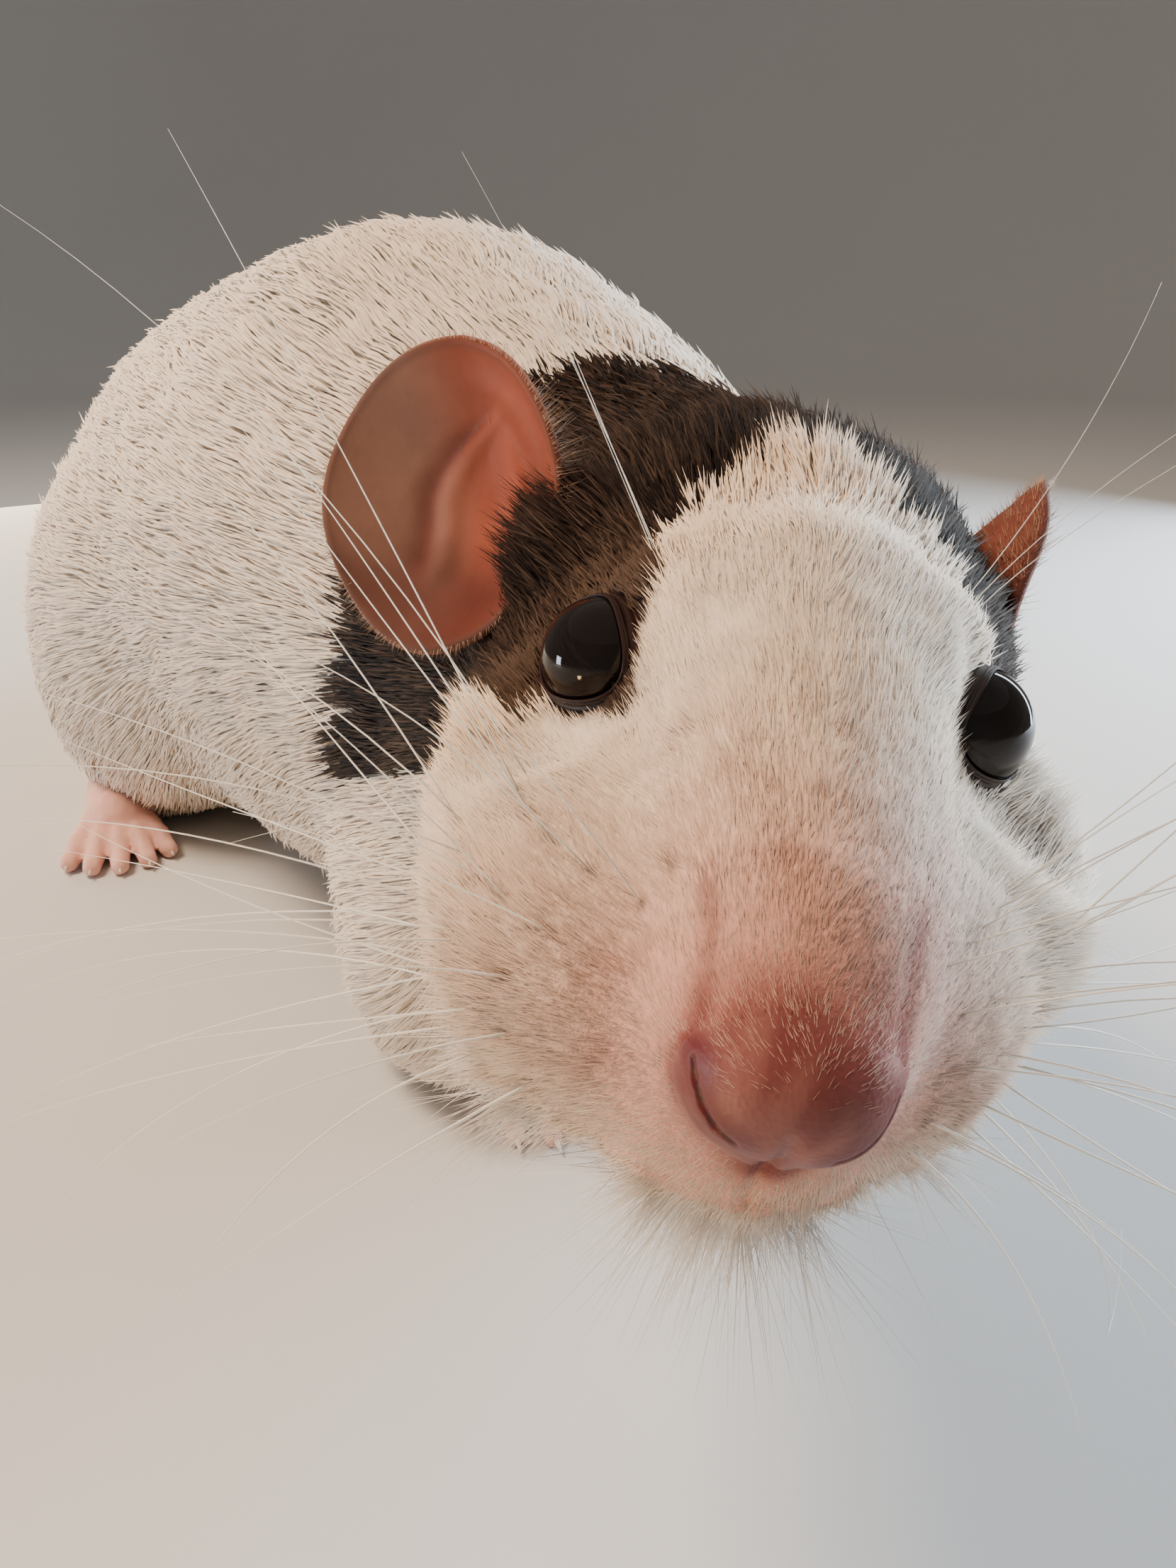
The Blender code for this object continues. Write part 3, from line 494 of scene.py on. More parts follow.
def mouth_gap(points):
    """Signed height over the mouth's plane, and how much of the mouth is here."""
    head = to_head(points)
    here = (1.0 - ramp(head[:, 1], -11.0, -7.0)) * (1.0 - ramp(np.abs(head[:, 0]), 7.0, 10.0))
    return head[:, 2] - mouth_height(head[:, 1]), here


def folds(points):
    """Grooves of the mouth and of the cleft under the nose."""
    head = to_head(points)
    height, here = mouth_gap(points)
    mouth = MOUTH_DEPTH * bell(height, 0.4) * here
    under = ramp(head[:, 2], -11.6, -10.4) * (1.0 - ramp(head[:, 2], -8.6, -7.6))
    ahead = 1.0 - ramp(head[:, 1], -19.5, -17.0)
    return mouth + CLEFT_DEPTH * bell(head[:, 0] - NOSE_CENTRE[0], 0.35) * under * ahead


def nose_forms():
    centre = np.array(NOSE_CENTRE)
    forms = [ball(centre, np.array(NOSE_RADII) - NOSE_SUNK, blend=NOSE_BLEND)]
    for side in (-1, 1):
        wing = centre + (side * 1.4, 0.4, -0.1)
        forms.append(ball(wing, (1.5, 1.7, 1.6), blend=NOSE_BLEND))
    forms.append(bone(centre + (0, 0.7, -1.2), centre + (0, 1.6, -3.4), 1.1, 0.8, blend=1.2))
    return [on_head(form) for form in forms]


NOSE_FORMS = nose_forms()


def nose_crease(face, nose, points):
    """1 along the line where the nose meets the lip, below and beside it."""
    low = 1.0 - ramp(to_head(points)[:, 2] - NOSE_CENTRE[2], -0.6, 0.9)
    return bell(face - nose, NOSE_CREASE_WIDTH) * low


def alar_fold(points):
    """1 along the fold that runs from each nostril up the side of the muzzle."""
    head = to_head(points)
    head[:, 0] = np.abs(head[:, 0] - NOSE_CENTRE[0])
    nearest = np.full(len(points), 99.0)
    for first, second in zip(ALAR_FOLD, ALAR_FOLD[1:]):
        nearest = np.minimum(nearest, distance(bone(first, second, 0.0, 0.0), head))
    return bell(nearest, ALAR_FOLD_WIDTH)


def face_level(points):
    """Below zero under the skin of the face, before the nose is put on it."""
    from_nose = off_nose(points)
    total = field(OUTLINE_FORMS, points)
    mouth = from_nose < 24.0
    for form in LIPS:
        total[mouth] = joined(total[mouth], form, points[mouth])
    return total + coat_depth(points) + folds(points)


def with_nose(face, points):
    """The face's level with the nose, its side folds, its crease and its middle groove."""
    nose = field(NOSE_FORMS, points)
    total = face + 0.15 * alar_fold(points)
    for form in NOSE_FORMS:
        total = joined(total, form, points)
    head = to_head(points)
    low = 1.0 - ramp(head[:, 2], -7.8, -6.8)
    groove = 0.14 * nose_crease(face, nose, points)
    return total + (groove + 0.20 * bell(head[:, 0] - NOSE_CENTRE[0], 0.3) * low)


def nose_level(points):
    return with_nose(face_level(points), points)


def nostril_forms():
    """A thin slit down each side of the nose, laid along its surface."""
    slits = []
    for side in SIDES.values():
        aims = unit(NOSTRIL_AIMS * (side, 1.0, 1.0)) @ HEAD_AXES.T
        starts = np.tile(NOSE, (len(aims), 1))
        path = path_on(nose_level, starts, aims, NOSTRIL_SUNK, NOSE_FINE)
        radii = np.array(NOSTRIL_RADII) * NOSTRIL_SHARE[side]
        for first, second, wide, narrow in zip(path, path[1:], radii, radii[1:]):
            slits.append(hollow(bone(first, second, wide, narrow, blend=NOSTRIL_BLEND)))
    return slits


NOSTRILS = nostril_forms()


def skin_level(points):
    """Below zero under the skin, with the lips, the nose and the nostrils."""
    total = face_level(points)
    near = off_nose(points) < NOSE_FINE
    total[near] = with_nose(total[near], points[near])
    for form in NOSTRILS:
        total[near] = joined(total[near], form, points[near])
    return total


def nostril_depth(points):
    return np.max([-distance(slit, points) for slit in NOSTRILS], axis=0)


def red_and_shade(points):
    """1 where the skin is painted reddest and darkest: round the nostrils, under the nose and in its
    folds, partly the skin's own red and partly painted shade in these hollows and creases.
    """
    red = np.zeros(len(points))
    near = off_nose(points) < NOSE_FINE
    close = points[near]
    crease = 0.85 * nose_crease(face_level(close), field(NOSE_FORMS, close), close)
    round_nostril = 0.95 * ramp(nostril_depth(close), -1.5, -0.35)
    centre = bell(norms((to_head(close) - NOSE_CENTRE - (0.0, -1.2, -2.0)) / (0.7, 2.0, 0.9)), 1.0)
    red[near] = np.max([crease, round_nostril, 0.6 * alar_fold(close), centre], axis=0)
    return red


# Whiskers' places

WHISKER_ROWS = 5
WHISKER_COLUMNS = 6
WHISKER_SUNK = 0.3
FOLLICLE_RADIUS = 0.26
MUZZLE_DOTS = (
    (4.0, -21.3, -2.1), (3.7, -22.6, -2.7), (6.3, -19.9, -4.8), (5.6, -21.3, -5.5), (5.0, -18.4, -2.6),
)


def whisker_plan(side, rng):
    """Start inside the pad, ray to the skin, aim, length, bend and radius, in the head's frame."""
    for row in range(WHISKER_ROWS):
        for column in range(WHISKER_COLUMNS):
            up = 1.0 - row / (WHISKER_ROWS - 1)
            back = column / (WHISKER_COLUMNS - 1)
            start = (side * 3.0, -19.0 + 9.0 * back + rng.normal(0, 0.3), -11.6 + 7.0 * up)
            rise = math.radians(-32.0 + 70.0 * up + rng.normal(0, 8.0))
            sweep = math.radians(-4.0 + 44.0 * back + rng.normal(0, 6.0))
            level = math.cos(rise)
            aim = (side * level * math.cos(sweep), level * math.sin(sweep), math.sin(rise))
            length = (15.0 + 37.0 * back) * rng.uniform(0.85, 1.05)
            bend = np.array((0.0, 0.16, -0.24)) + rng.normal(0, 0.12, 3)
            yield start, (side, 0.0, 0.25 * (up - 0.5)), aim, length, bend, 0.062 - 0.018 * up
    for number in range(3):
        start = (side * 5.5, -2.0 + 1.2 * number, 2.0)
        aim = (side * 0.55, 0.25 + 0.1 * number, 0.8)
        yield start, (side * 0.5, 0.1, 1.0), aim, 16.0 + 3 * number, rng.normal(0, 0.16, 3), 0.024
    for number in range(2):
        start = (side * 6.0, 2.0 + 3.0 * number, -9.0)
        yield start, (side, 0.0, 0.0), (side * 0.8, 0.35, -0.35), 17.0, rng.normal(0, 0.08, 3), 0.04


def plan_whiskers(side):
    """Root on the skin, aim, length, bend and radius of each whisker of one side."""
    rng = np.random.default_rng(SEED + 90 + side)
    plans = []
    for start, ray, aim, length, bend, radius in whisker_plan(side, rng):
        ray, aim, bend = (HEAD_AXES @ np.asarray(vector) for vector in (ray, aim, bend))
        root = path_on(skin_level, from_head([start]), unit(ray)[None, :], WHISKER_SUNK)[0]
        plans.append((root, unit(aim), length, bend, radius))
    return plans


WHISKERS = {side: plan_whiskers(side) for side in (-1, 1)}


def follicles():
    """The whiskers' roots, with the small dots of the muzzle's upper edge."""
    spots = [plan[0] for side in (-1, 1) for plan in WHISKERS[side][:WHISKER_ROWS * WHISKER_COLUMNS]]
    dots = from_head([(side * x, y, z) for side in (-1, 1) for x, y, z in MUZZLE_DOTS])
    return np.vstack([spots, dots])


FOLLICLES = follicles()


def follicle(points):
    """1 at the mouth of a follicle, 0 beside it."""
    found = np.zeros(len(points))
    near = off_nose(points) < 26.0
    gaps = [norms(points[near] - spot) for spot in FOLLICLES]
    found[near] = 1.0 - ramp(np.min(gaps, axis=0), FOLLICLE_RADIUS * 0.6, FOLLICLE_RADIUS * 1.9)
    return found


# Coat markings: the blaze's two edges, as (how far back, how far to the left)

BLAZE_RIGHT = (
    (-8.0, -7.4, -3.5, 3.6, 4.8, 6.2, 9.5, 11.6),
    (-40.0, -7.4, -7.4, -7.2, -5.6, -3.6, -1.9, 1.0),
)
BLAZE_LEFT = (
    (-3.0, 0.5, 3.0, 5.0, 6.5, 7.6, 9.5, 11.6),
    (40.0, 15.0, 12.4, 9.0, 6.2, 3.2, 1.8, -1.0),
)
HOOD_BORDER = (-3.4, 2.0)
HOOD_SLOPE = -0.50
HOOD_END = (20.0, 22.5)


def hood(points):
    """1 where the coat is dark: crown and nape, but not the blaze, the left brow or the cheeks."""
    head = to_head(points)
    jag = 0.7 * waves(points, 3.2, 5) + 0.35 * waves(points, 1.3, 6)
    along = head[:, 1] + 1.2 * jag
    right_edge = np.interp(along, *BLAZE_RIGHT) - head[:, 0]
    left_edge = head[:, 0] - np.interp(along, *BLAZE_LEFT)
    outside = ramp(np.maximum(right_edge, left_edge) + 0.4 * jag, -0.35, 0.35)
    border = np.where(head[:, 0] < 0, *HOOD_BORDER) + HOOD_SLOPE * head[:, 1]
    above = ramp(head[:, 2] - border + 0.9 * jag, -0.5, 0.5)
    before_back = 1.0 - ramp(points[:, 1] + 2.4 * jag - 0.10 * (60 - points[:, 2]), *HOOD_END)
    return outside * above * before_back


# Meshes

def new_mesh(name, points, faces):
    mesh = bpy.data.meshes.new(name)
    mesh.from_pydata((points + SHIFT) * TO_METRES, [], faces)
    mesh.update()
    return mesh


def placed(name, data):
    """A new object, put into the scene."""
    made = bpy.data.objects.new(name, data)
    bpy.context.scene.collection.objects.link(made)
    return made


def piece(name, mesh, material, slot, replaced=()):
    """A finished piece: shaded smooth, with its material, riding on the body."""
    made = placed(name, mesh)
    mesh.materials.append(material)
    mesh.shade_smooth()
    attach(made, BODY)
    if replaced:
        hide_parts(*replaced)
    return made


def net_of(mesh):
    net = bmesh.new()
    net.from_mesh(mesh)
    net.verts.ensure_lookup_table()
    return net


def net_into(net, mesh):
    net.to_mesh(mesh)
    net.free()
    return mesh


def mesh_of_forms(forms):
    """The surfaces of all the forms in one mesh, each closed."""
    net = bmesh.new()
    for form in forms:
        if form.get("hollow"):
            continue
        if form["kind"] == "ball":
            place = Matrix.Translation(form["centre"])
            axes = Matrix(form["axes"].tolist()).to_4x4()
            stretch = Matrix.Diagonal((*form["radii"], 1.0))
            bmesh.ops.create_icosphere(net, subdivisions=4, radius=1.0, matrix=place @ axes @ stretch)
            continue
        start, end = Vector(form["start"]), Vector(form["end"])
        first, last = form["radii"]
        axis = (end - start).to_track_quat("Z", "Y").to_matrix().to_4x4()
        bmesh.ops.create_cone(
            net, cap_ends=True, segments=24, radius1=first, radius2=last,
            depth=(end - start).length, matrix=Matrix.Translation((start + end) / 2) @ axis,
        )
        for centre, radius in ((start, first), (end, last)):
            place = Matrix.Translation(centre)
            bmesh.ops.create_icosphere(net, subdivisions=3, radius=radius, matrix=place)
    return net_into(net, bpy.data.meshes.new("forms"))


def points_of(mesh):
    flat = np.empty(len(mesh.vertices) * 3)
    mesh.vertices.foreach_get("co", flat)
    return flat.reshape(-1, 3)


def set_points(mesh, points):
    mesh.vertices.foreach_set("co", np.ascontiguousarray(points).ravel())
    mesh.update()


def remeshed(forms, net_size):
    """One closed net round all the forms, still in millimetres."""
    helper = placed("helper", mesh_of_forms(forms))
    remesh = helper.modifiers.new("Net", "REMESH")
    remesh.mode = "VOXEL"
    remesh.voxel_size = net_size
    bpy.context.view_layer.update()
    mesh = bpy.data.meshes.new_from_object(helper.evaluated_get(bpy.context.evaluated_depsgraph_get()))
    bpy.data.objects.remove(helper)
    return mesh


def finer_within(mesh, radius):
    """Splits each face in four that lies nearer to the nose than the radius."""
    net = net_of(mesh)
    near = off_nose(np.array([vert.co for vert in net.verts])) < radius
    edges = [edge for edge in net.edges if near[edge.verts[0].index] and near[edge.verts[1].index]]
    bmesh.ops.subdivide_edges(net, edges=edges, cuts=1, use_grid_fill=True)
    net_into(net, mesh)


def faces_where(mesh, name, wanted, inside):
    """A copy with only the faces whose corners are all wanted, or with only the others."""
    part = mesh.copy()
    part.name = name
    net = net_of(part)
    drop = [face for face in net.faces if all(wanted[vert.index] for vert in face.verts) != inside]
    bmesh.ops.delete(net, geom=drop, context="FACES")
    return net_into(net, part)


def in_metres(mesh):
    set_points(mesh, (points_of(mesh) + SHIFT) * TO_METRES)
    return mesh


def set_tint(mesh, colours):
    layer = mesh.color_attributes.new("tint", "FLOAT_COLOR", "POINT")
    rgba = np.ones((len(colours), 4), np.float32)
    rgba[:, :3] = colours
    layer.data.foreach_set("color", rgba.ravel())


def set_vectors(mesh, name, vectors):
    layer = mesh.attributes.new(name, "FLOAT_VECTOR", "POINT")
    layer.data.foreach_set("vector", np.ascontiguousarray(vectors, dtype=np.float32).ravel())
    mesh.update()


def ring_faces(rings, sides, first=0):
    """Faces between each ring of points and the next one."""
    faces = []
    for low in range(first, first + (rings - 1) * sides, sides):
        for corner in range(sides):
            after = (corner + 1) % sides
            faces.append((low + corner, low + sides + corner, low + sides + after, low + after))
    return faces


def tube_faces(rings, sides, first=0):
    """The faces between the rings, with one that closes each end."""
    last = first + (rings - 1) * sides
    ends = [tuple(range(first, first + sides)), tuple(range(last, last + sides))[::-1]]
    return ring_faces(rings, sides, first) + ends


def turned(faces):
    """The same faces, looking the other way."""
    return [face[::-1] for face in faces]


def circle(sides):
    """The cosine and the sine of each corner of a ring."""
    angles = np.arange(sides) * 2 * math.pi / sides
    return np.cos(angles)[:, None], np.sin(angles)[:, None]


def tube_points(path, across, lift, radii, sides):
    """A ring of points round each spot of a path."""
    cosines, sines = circle(sides)
    spokes = cosines * across[:, None] + sines * lift[:, None]
    return (path[:, None] + spokes * radii[:, None, None]).reshape(-1, 3)


def mix(first, second, share):
    share = np.reshape(share, (-1, 1))
    return np.asarray(first) * (1.0 - share) + np.asarray(second) * share


# Colours

DARK_FUR = np.array((0.0090, 0.0055, 0.0045))
BROWN_FUR = np.array((0.088, 0.055, 0.038))
WHITE_FUR = np.array((0.86, 0.75, 0.64))
CREAM_FUR = np.array((0.81, 0.61, 0.44))
BLUSH_FUR = np.array((0.50, 0.255, 0.195))
CHIN_WHITE_AND_LIGHT = np.array((0.92, 0.88, 0.84))
DARK_SKIN = np.array((0.012, 0.007, 0.005))
PALE_SKIN = np.array((0.80, 0.64, 0.50))
UNDERCOAT = np.array((0.90, 0.82, 0.74))
PINK_SKIN = np.array((0.66, 0.32, 0.25))
PAW_SKIN = (0.74, 0.42, 0.35)
TAIL_SKIN = (0.66, 0.43, 0.36)
NOSE_PINK = np.array((0.17, 0.042, 0.037))
NOSE_RED_AND_SHADE = np.array((0.100, 0.007, 0.008))
NOSTRIL_SHADE = np.array((0.040, 0.004, 0.004))
LID_BROWN = np.array((0.024, 0.011, 0.009))
EYE_BLACK = (0.007, 0.0045, 0.004)
EAR_TAUPE = np.array((0.30, 0.165, 0.125))
EAR_RED_GLOW = np.array((0.31, 0.078, 0.043))
EAR_DUSK_SHADE = np.array((0.080, 0.025, 0.020))
EAR_FOLD_SHADE = np.array((0.16, 0.045, 0.038))
EAR_RIM = np.array((0.12, 0.060, 0.044))
EAR_SHADE = np.array((0.085, 0.036, 0.032))
EAR_DOWN = ((0.22, 0.12, 0.08), (0.62, 0.42, 0.30))
EAR_RIM_DOWN = (0.48, 0.33, 0.24)
TAIL_HAIR = ((0.60, 0.46, 0.36), (0.80, 0.72, 0.62))
WHISKER_WHITE = (0.86, 0.82, 0.75)
CLAW_HORN = (0.72, 0.60, 0.50)
FLOOR_GREY = (0.60, 0.59, 0.58)


def skin_colours(points):
    """The coat's own colours low down, and bare pink skin at the nose and the eyes."""
    from_nose = off_nose(points)
    head = to_head(points) - NOSE_CENTRE
    colours = mix(PINK_SKIN, PALE_SKIN, ramp(from_nose, 4.0, 15.0))
    colours = mix(colours, UNDERCOAT, ramp(from_nose, 18.0, 34.0))
    colours = mix(colours, DARK_SKIN, hood(points))
    colours = mix(colours, LID_BROWN, 1.0 - ramp(eye_gap(points), 3.5, 4.3))
    pad = mix(NOSE_PINK, PINK_SKIN, 0.14 * ramp(waves(points, 2.4, 51), -0.4, 0.9))
    colours = mix(colours, pad, 1.0 - ramp(norms(head / (3.9, 3.6, 3.4)), 0.75, 1.5))
    # Redder and darker round the nostrils, in the crease under the nose and in its folds: partly the
    # skin's own red, partly painted shade in these hollows.
    colours = mix(colours, NOSE_RED_AND_SHADE, red_and_shade(points))
    colours = colours * (1.0 - 0.6 * follicle(points))[:, None]
    # The nostril slits are painted dark: painted shade of the openings.
    return mix(colours, NOSTRIL_SHADE, ramp(nostril_depth(points), -0.16, 0.04))


# Materials

BARE_SCATTER = (1.0, 0.35, 0.2)
EAR_SCATTER = (1.0, 0.28, 0.14)
STREAK_ACROSS = 7.0
STREAK_ALONG = 0.55


def new_material(name, roughness, specular=0.5):
    material = bpy.data.materials.new(name)
    material.use_nodes = True
    tree = material.node_tree
    shader = tree.nodes["Principled BSDF"]
    shader.inputs["Roughness"].default_value = roughness
    shader.inputs["Specular IOR Level"].default_value = specular
    return material, tree, shader


def let_light_in(shader, weight, spread, depth):
    shader.inputs["Subsurface Weight"].default_value = weight
    shader.inputs["Subsurface Radius"].default_value = spread
    shader.inputs["Subsurface Scale"].default_value = depth


def plain_colour(tree, colour):
    node = tree.nodes.new("ShaderNodeRGB")
    node.outputs[0].default_value = (*colour, 1.0)
    return node.outputs[0]


def own_colour(tree):
    """The colour that the mesh keeps for each of its points."""
    node = tree.nodes.new("ShaderNodeAttribute")
    node.attribute_name = "tint"
    return node.outputs["Color"]


def noise_node(tree, scale, detail=4.0, place=None):
    if place is None:
        place = tree.nodes.new("ShaderNodeTexCoord").outputs["Object"]
    noise = tree.nodes.new("ShaderNodeTexNoise")
    noise.inputs["Scale"].default_value = scale
    noise.inputs["Detail"].default_value = detail
    tree.links.new(place, noise.inputs["Vector"])
    return noise.outputs["Fac"]


def tint_into(tree, shader, source, noise, low, high):
    """The base colour: the source, made lighter and darker by a noise."""
    span = tree.nodes.new("ShaderNodeMapRange")
    span.inputs["To Min"].default_value = low
    span.inputs["To Max"].default_value = high
    tree.links.new(noise, span.inputs["Value"])
    scaled = tree.nodes.new("ShaderNodeVectorMath")
    scaled.operation = "SCALE"
    tree.links.new(source, scaled.inputs[0])
    tree.links.new(span.outputs["Result"], scaled.inputs["Scale"])
    tree.links.new(scaled.outputs["Vector"], shader.inputs["Base Color"])


def bump_into(tree, shader, height, strength, depth):
    bump = tree.nodes.new("ShaderNodeBump")
    bump.inputs["Strength"].default_value = strength
    bump.inputs["Distance"].default_value = depth
    tree.links.new(height, bump.inputs["Height"])
    tree.links.new(bump.outputs["Normal"], shader.inputs["Normal"])


def plain_material(name, colour, noise_scale, low, high, roughness, specular=0.5):
    """One colour with a faint noise: eyes, claws, whiskers and the floor."""
    material, tree, shader = new_material(name, roughness, specular)
    tint_into(tree, shader, plain_colour(tree, colour), noise_node(tree, noise_scale), low, high)
    return material


def fur_material():
    material, tree, shader = new_material("fur", 0.62, 0.2)
    tint_into(tree, shader, own_colour(tree), noise_node(tree, 420.0, detail=1.0), 0.78, 1.18)
    return material


def bare_material(name, colour, subsurface, bump, scale):
    """Bare skin of one colour, blotched and finely rough."""
    material, tree, shader = new_material(name, 0.5)
    tint_into(tree, shader, plain_colour(tree, colour), noise_node(tree, 160.0), 0.80, 1.15)
    let_light_in(shader, subsurface, BARE_SCATTER, 0.0012)
    bump_into(tree, shader, noise_node(tree, scale), bump, 0.0001)
    return material


def stream(points):
    """Coordinates that change fast across the lie of the coat and slowly along it."""
    along, round_spine, gap = spine_place(points)
    aim = unit(SPINE[-1] - SPINE[0])
    return round_spine * gap[:, None] * STREAK_ACROSS + aim * (along * STREAK_ALONG)[:, None]


def furry_skin_material():
    """Skin that reads as short flat coat: fine streaks along the lie, in colour and relief."""
    material, tree, shader = new_material("skin", 0.7, 0.25)
    place = tree.nodes.new("ShaderNodeAttribute")
    place.attribute_name = "stream"
    streaks = noise_node(tree, 1.0, detail=2.0, place=place.outputs["Vector"])
    tint_into(tree, shader, own_colour(tree), streaks, 0.74, 1.16)
    bump_into(tree, shader, streaks, 0.6, 0.00015)
    return material


def nose_material():
    """Moist pink skin with the fine cells of a bare nose."""
    material, tree, shader = new_material("nose_skin", 0.5)
    cells = tree.nodes.new("ShaderNodeTexVoronoi")
    cells.inputs["Scale"].default_value = 4200.0
    place = tree.nodes.new("ShaderNodeTexCoord")
    tree.links.new(place.outputs["Object"], cells.inputs["Vector"])
    tint_into(tree, shader, own_colour(tree), noise_node(tree, 500.0), 0.85, 1.15)
    let_light_in(shader, 0.08, BARE_SCATTER, 0.0008)
    bump_into(tree, shader, cells.outputs["Distance"], 0.3, 0.00005)
    return material


def ear_material():
    """Thin skin, redder where light comes through, with faint wide blotches."""
    material, tree, shader = new_material("ear_skin", 0.6, 0.25)
    tint_into(tree, shader, own_colour(tree), noise_node(tree, 260.0), 0.62, 1.32)
    let_light_in(shader, 0.15, EAR_SCATTER, 0.0012)
    bump_into(tree, shader, noise_node(tree, 1500.0), 0.3, 0.0001)
    return material


# Skin

NOSE_PATCH = (3.9, 3.6, 3.3)
SKIN_NET = 1.5
FINER_WITHIN = (46.0, 27.0, 6.5, 5.0, 3.9)
SKIN_FLOOR = 0.05
FLESH = (
    "head", "neck", "muzzle", "jaw", "torso",
    "thigh_right", "thigh_left", "foreleg_right", "foreleg_left",
)


def in_nose_patch(points):
    return norms((to_head(points) - NOSE_CENTRE - (0.0, 0.5, -0.3)) / NOSE_PATCH) < 1.0


def make_skin():
    """The whole skin as one net, finer and finer towards the nose."""
    mesh = remeshed(OUTLINE_FORMS, SKIN_NET)
    set_points(mesh, settle(skin_level, points_of(mesh)))
    for within in FINER_WITHIN:
        finer_within(mesh, within)
        points = points_of(mesh)
        close = off_nose(points) < within + 3.0
        points[close] = settle(skin_level, points[close], rounds=3, most=0.5)
        set_points(mesh, points)
    points = points_of(mesh)
    points[:, 2] = np.maximum(points[:, 2], SKIN_FLOOR)
    set_points(mesh, points)
    return mesh


def finish_skin(mesh):
    """Colours and smooths the skin, and parts the nose's pad from it."""
    points = points_of(mesh)
    on_nose = in_nose_patch(points)
    set_tint(mesh, skin_colours(points))
    set_vectors(mesh, "stream", stream(points))
    set_vectors(mesh, "custom_normal", normals_of(skin_level, points))
    nose = faces_where(mesh, "nose_pad", on_nose, inside=True)
    rest = faces_where(mesh, "skin", on_nose, inside=False)
    piece("skin", in_metres(rest), furry_skin_material(), "fur_white", FLESH)
    piece("nose_pad", in_metres(nose), nose_material(), "nose_skin", ["nose"])


# Coat: each table gives a value at distances from the nose

HEAD_REACH = 26.0
HAIR_LENGTHS = ((2.5, 5, 9, 16, 28, 40, 55, 80), (0.35, 0.75, 1.3, 1.8, 2.5, 3.4, 4.6, 6.2))
HAIR_WIDTHS = ((2.5, 10, 26, 26.1, 43, 80), (0.038, 0.055, 0.080, 0.095, 0.14, 0.24))
HAIR_DENSITY = (
    (2.5, 5, 10, 20, 26, 35, 43, 60, 90),
    (34.0, 64.0, 64.0, 46.0, 38.0, 26.0, 14.0, 7.0, 3.3),
)
HAIR_LIFTS = ((2.5, 12, 28, 40, 60), (13.0, 11.0, 11.0, 9.0, 5.5))
LIFT_SPREAD = ((2.5, 28, 60), (5.0, 4.0, 1.8))
STRAY = ((2.5, 28, 60), (0.12, 0.10, 0.045))
BARE_NOSE = (3.4, 3.2, 2.5)
EAR_TUFT_PLACE = (12.6, 10.5, 3.8)
CHIN_HEIGHTS = (12.5, 15.5)
CHIN_GROWTH = 1.3
CHIN_LIFT = 24.0
LONG_SHARE = 0.16
ROOT_LIFT = 0.20
TIP_DROP = 0.16
COAT_FLOOR = 0.15
SPINE = np.vstack([
    from_head([(0, -30, -7), (0, -10, -5), (0, 12, -3), (0, 26, -4)]),
    [(0.0, 34.0, 32.0), (0.0, 62.0, 34.0), (0.0, 110.0, 30.0), (0.0, 160.0, 14.0)],
])
UV_EDGE = 0.01
UV_PATCH = 0.003
OWN_NORMAL = 0.28
BEND = 0.4
SUNK_SHARE = 0.05
STRAIGHT_FACES = ((2, 1, 0), (0, 1, 3), (1, 2, 3), (2, 0, 3))
BENT_FACES = ((1, 0, 4), (2, 1, 4), (0, 2, 4), (0, 1, 3), (1, 2, 3), (2, 0, 3))
# Each hair's corners are painted darker at the root as painted shade between the hairs, and a little
# lighter at the tip as painted light.
STRAIGHT_SHADE_AND_LIGHT = (0.82, 0.82, 0.82, 1.04)
BENT_SHADE_AND_LIGHT = (1.0, 1.0, 1.0, 1.03, 0.96)
PATCH_CORNERS = np.array(((0, 0), (1, 0), (0.5, 1), (0.5, 0.45), (0.2, 0.8)))
MOST_TRIANGLES = 195000


def lie_of_coat(points, normals):
    """Which way the coat lies: from the nose back over the head, then along the trunk."""
    head = to_head(points)
    side = np.sign(head[:, 0])[:, None]
    back = unit(HEAD_AXES @ np.array((0.0, 1.0, 0.10)))
    low = ramp(-head[:, 2], 5.0, 13.0)[:, None]
    face = unit(points - NOSE) * 0.9 + back * 0.35
    face = unit(face + side * HEAD_AXES[:, 0] * 0.15 * (1 - low) - HEAD_AXES[:, 2] * 0.35 * low)
    fall = ramp(30.0 - points[:, 2], -20.0, 25.0)[:, None]
    trunk = unit((0.0, 1.0, 0.0) + np.array((0.0, 0.0, -0.75)) * fall)
    share = ramp(off_nose(points), 38.0, 62.0)[:, None]
    lie = unit(face * (1.0 - share) + trunk * share)
    lie += 0.16 * np.stack([waves(points, 9.0, 11 + axis) for axis in range(3)], axis=1)
    lie -= normals * np.sum(lie * normals, axis=1, keepdims=True)
    return unit(lie)


def density_of_coat(points):
    """Hairs in a square millimetre: none at the eyes, the bare nose, the mouth and the floor."""
    density = np.interp(off_nose(points), *HAIR_DENSITY)
    density *= ramp(eye_gap(points), 3.35, 3.7)
    density *= ramp(points[:, 2], 0.4, 2.5)
    from_pad = norms((to_head(points) - NOSE_CENTRE - (0.0, 0.0, -0.7)) / BARE_NOSE)
    density *= ramp(from_pad, 0.85, 1.3)
    density *= 1.0 - 0.85 * ramp(red_and_shade(points), 0.35, 0.7)
    height, here = mouth_gap(points)
    return density * (1.0 - bell(height, 0.25) * here)


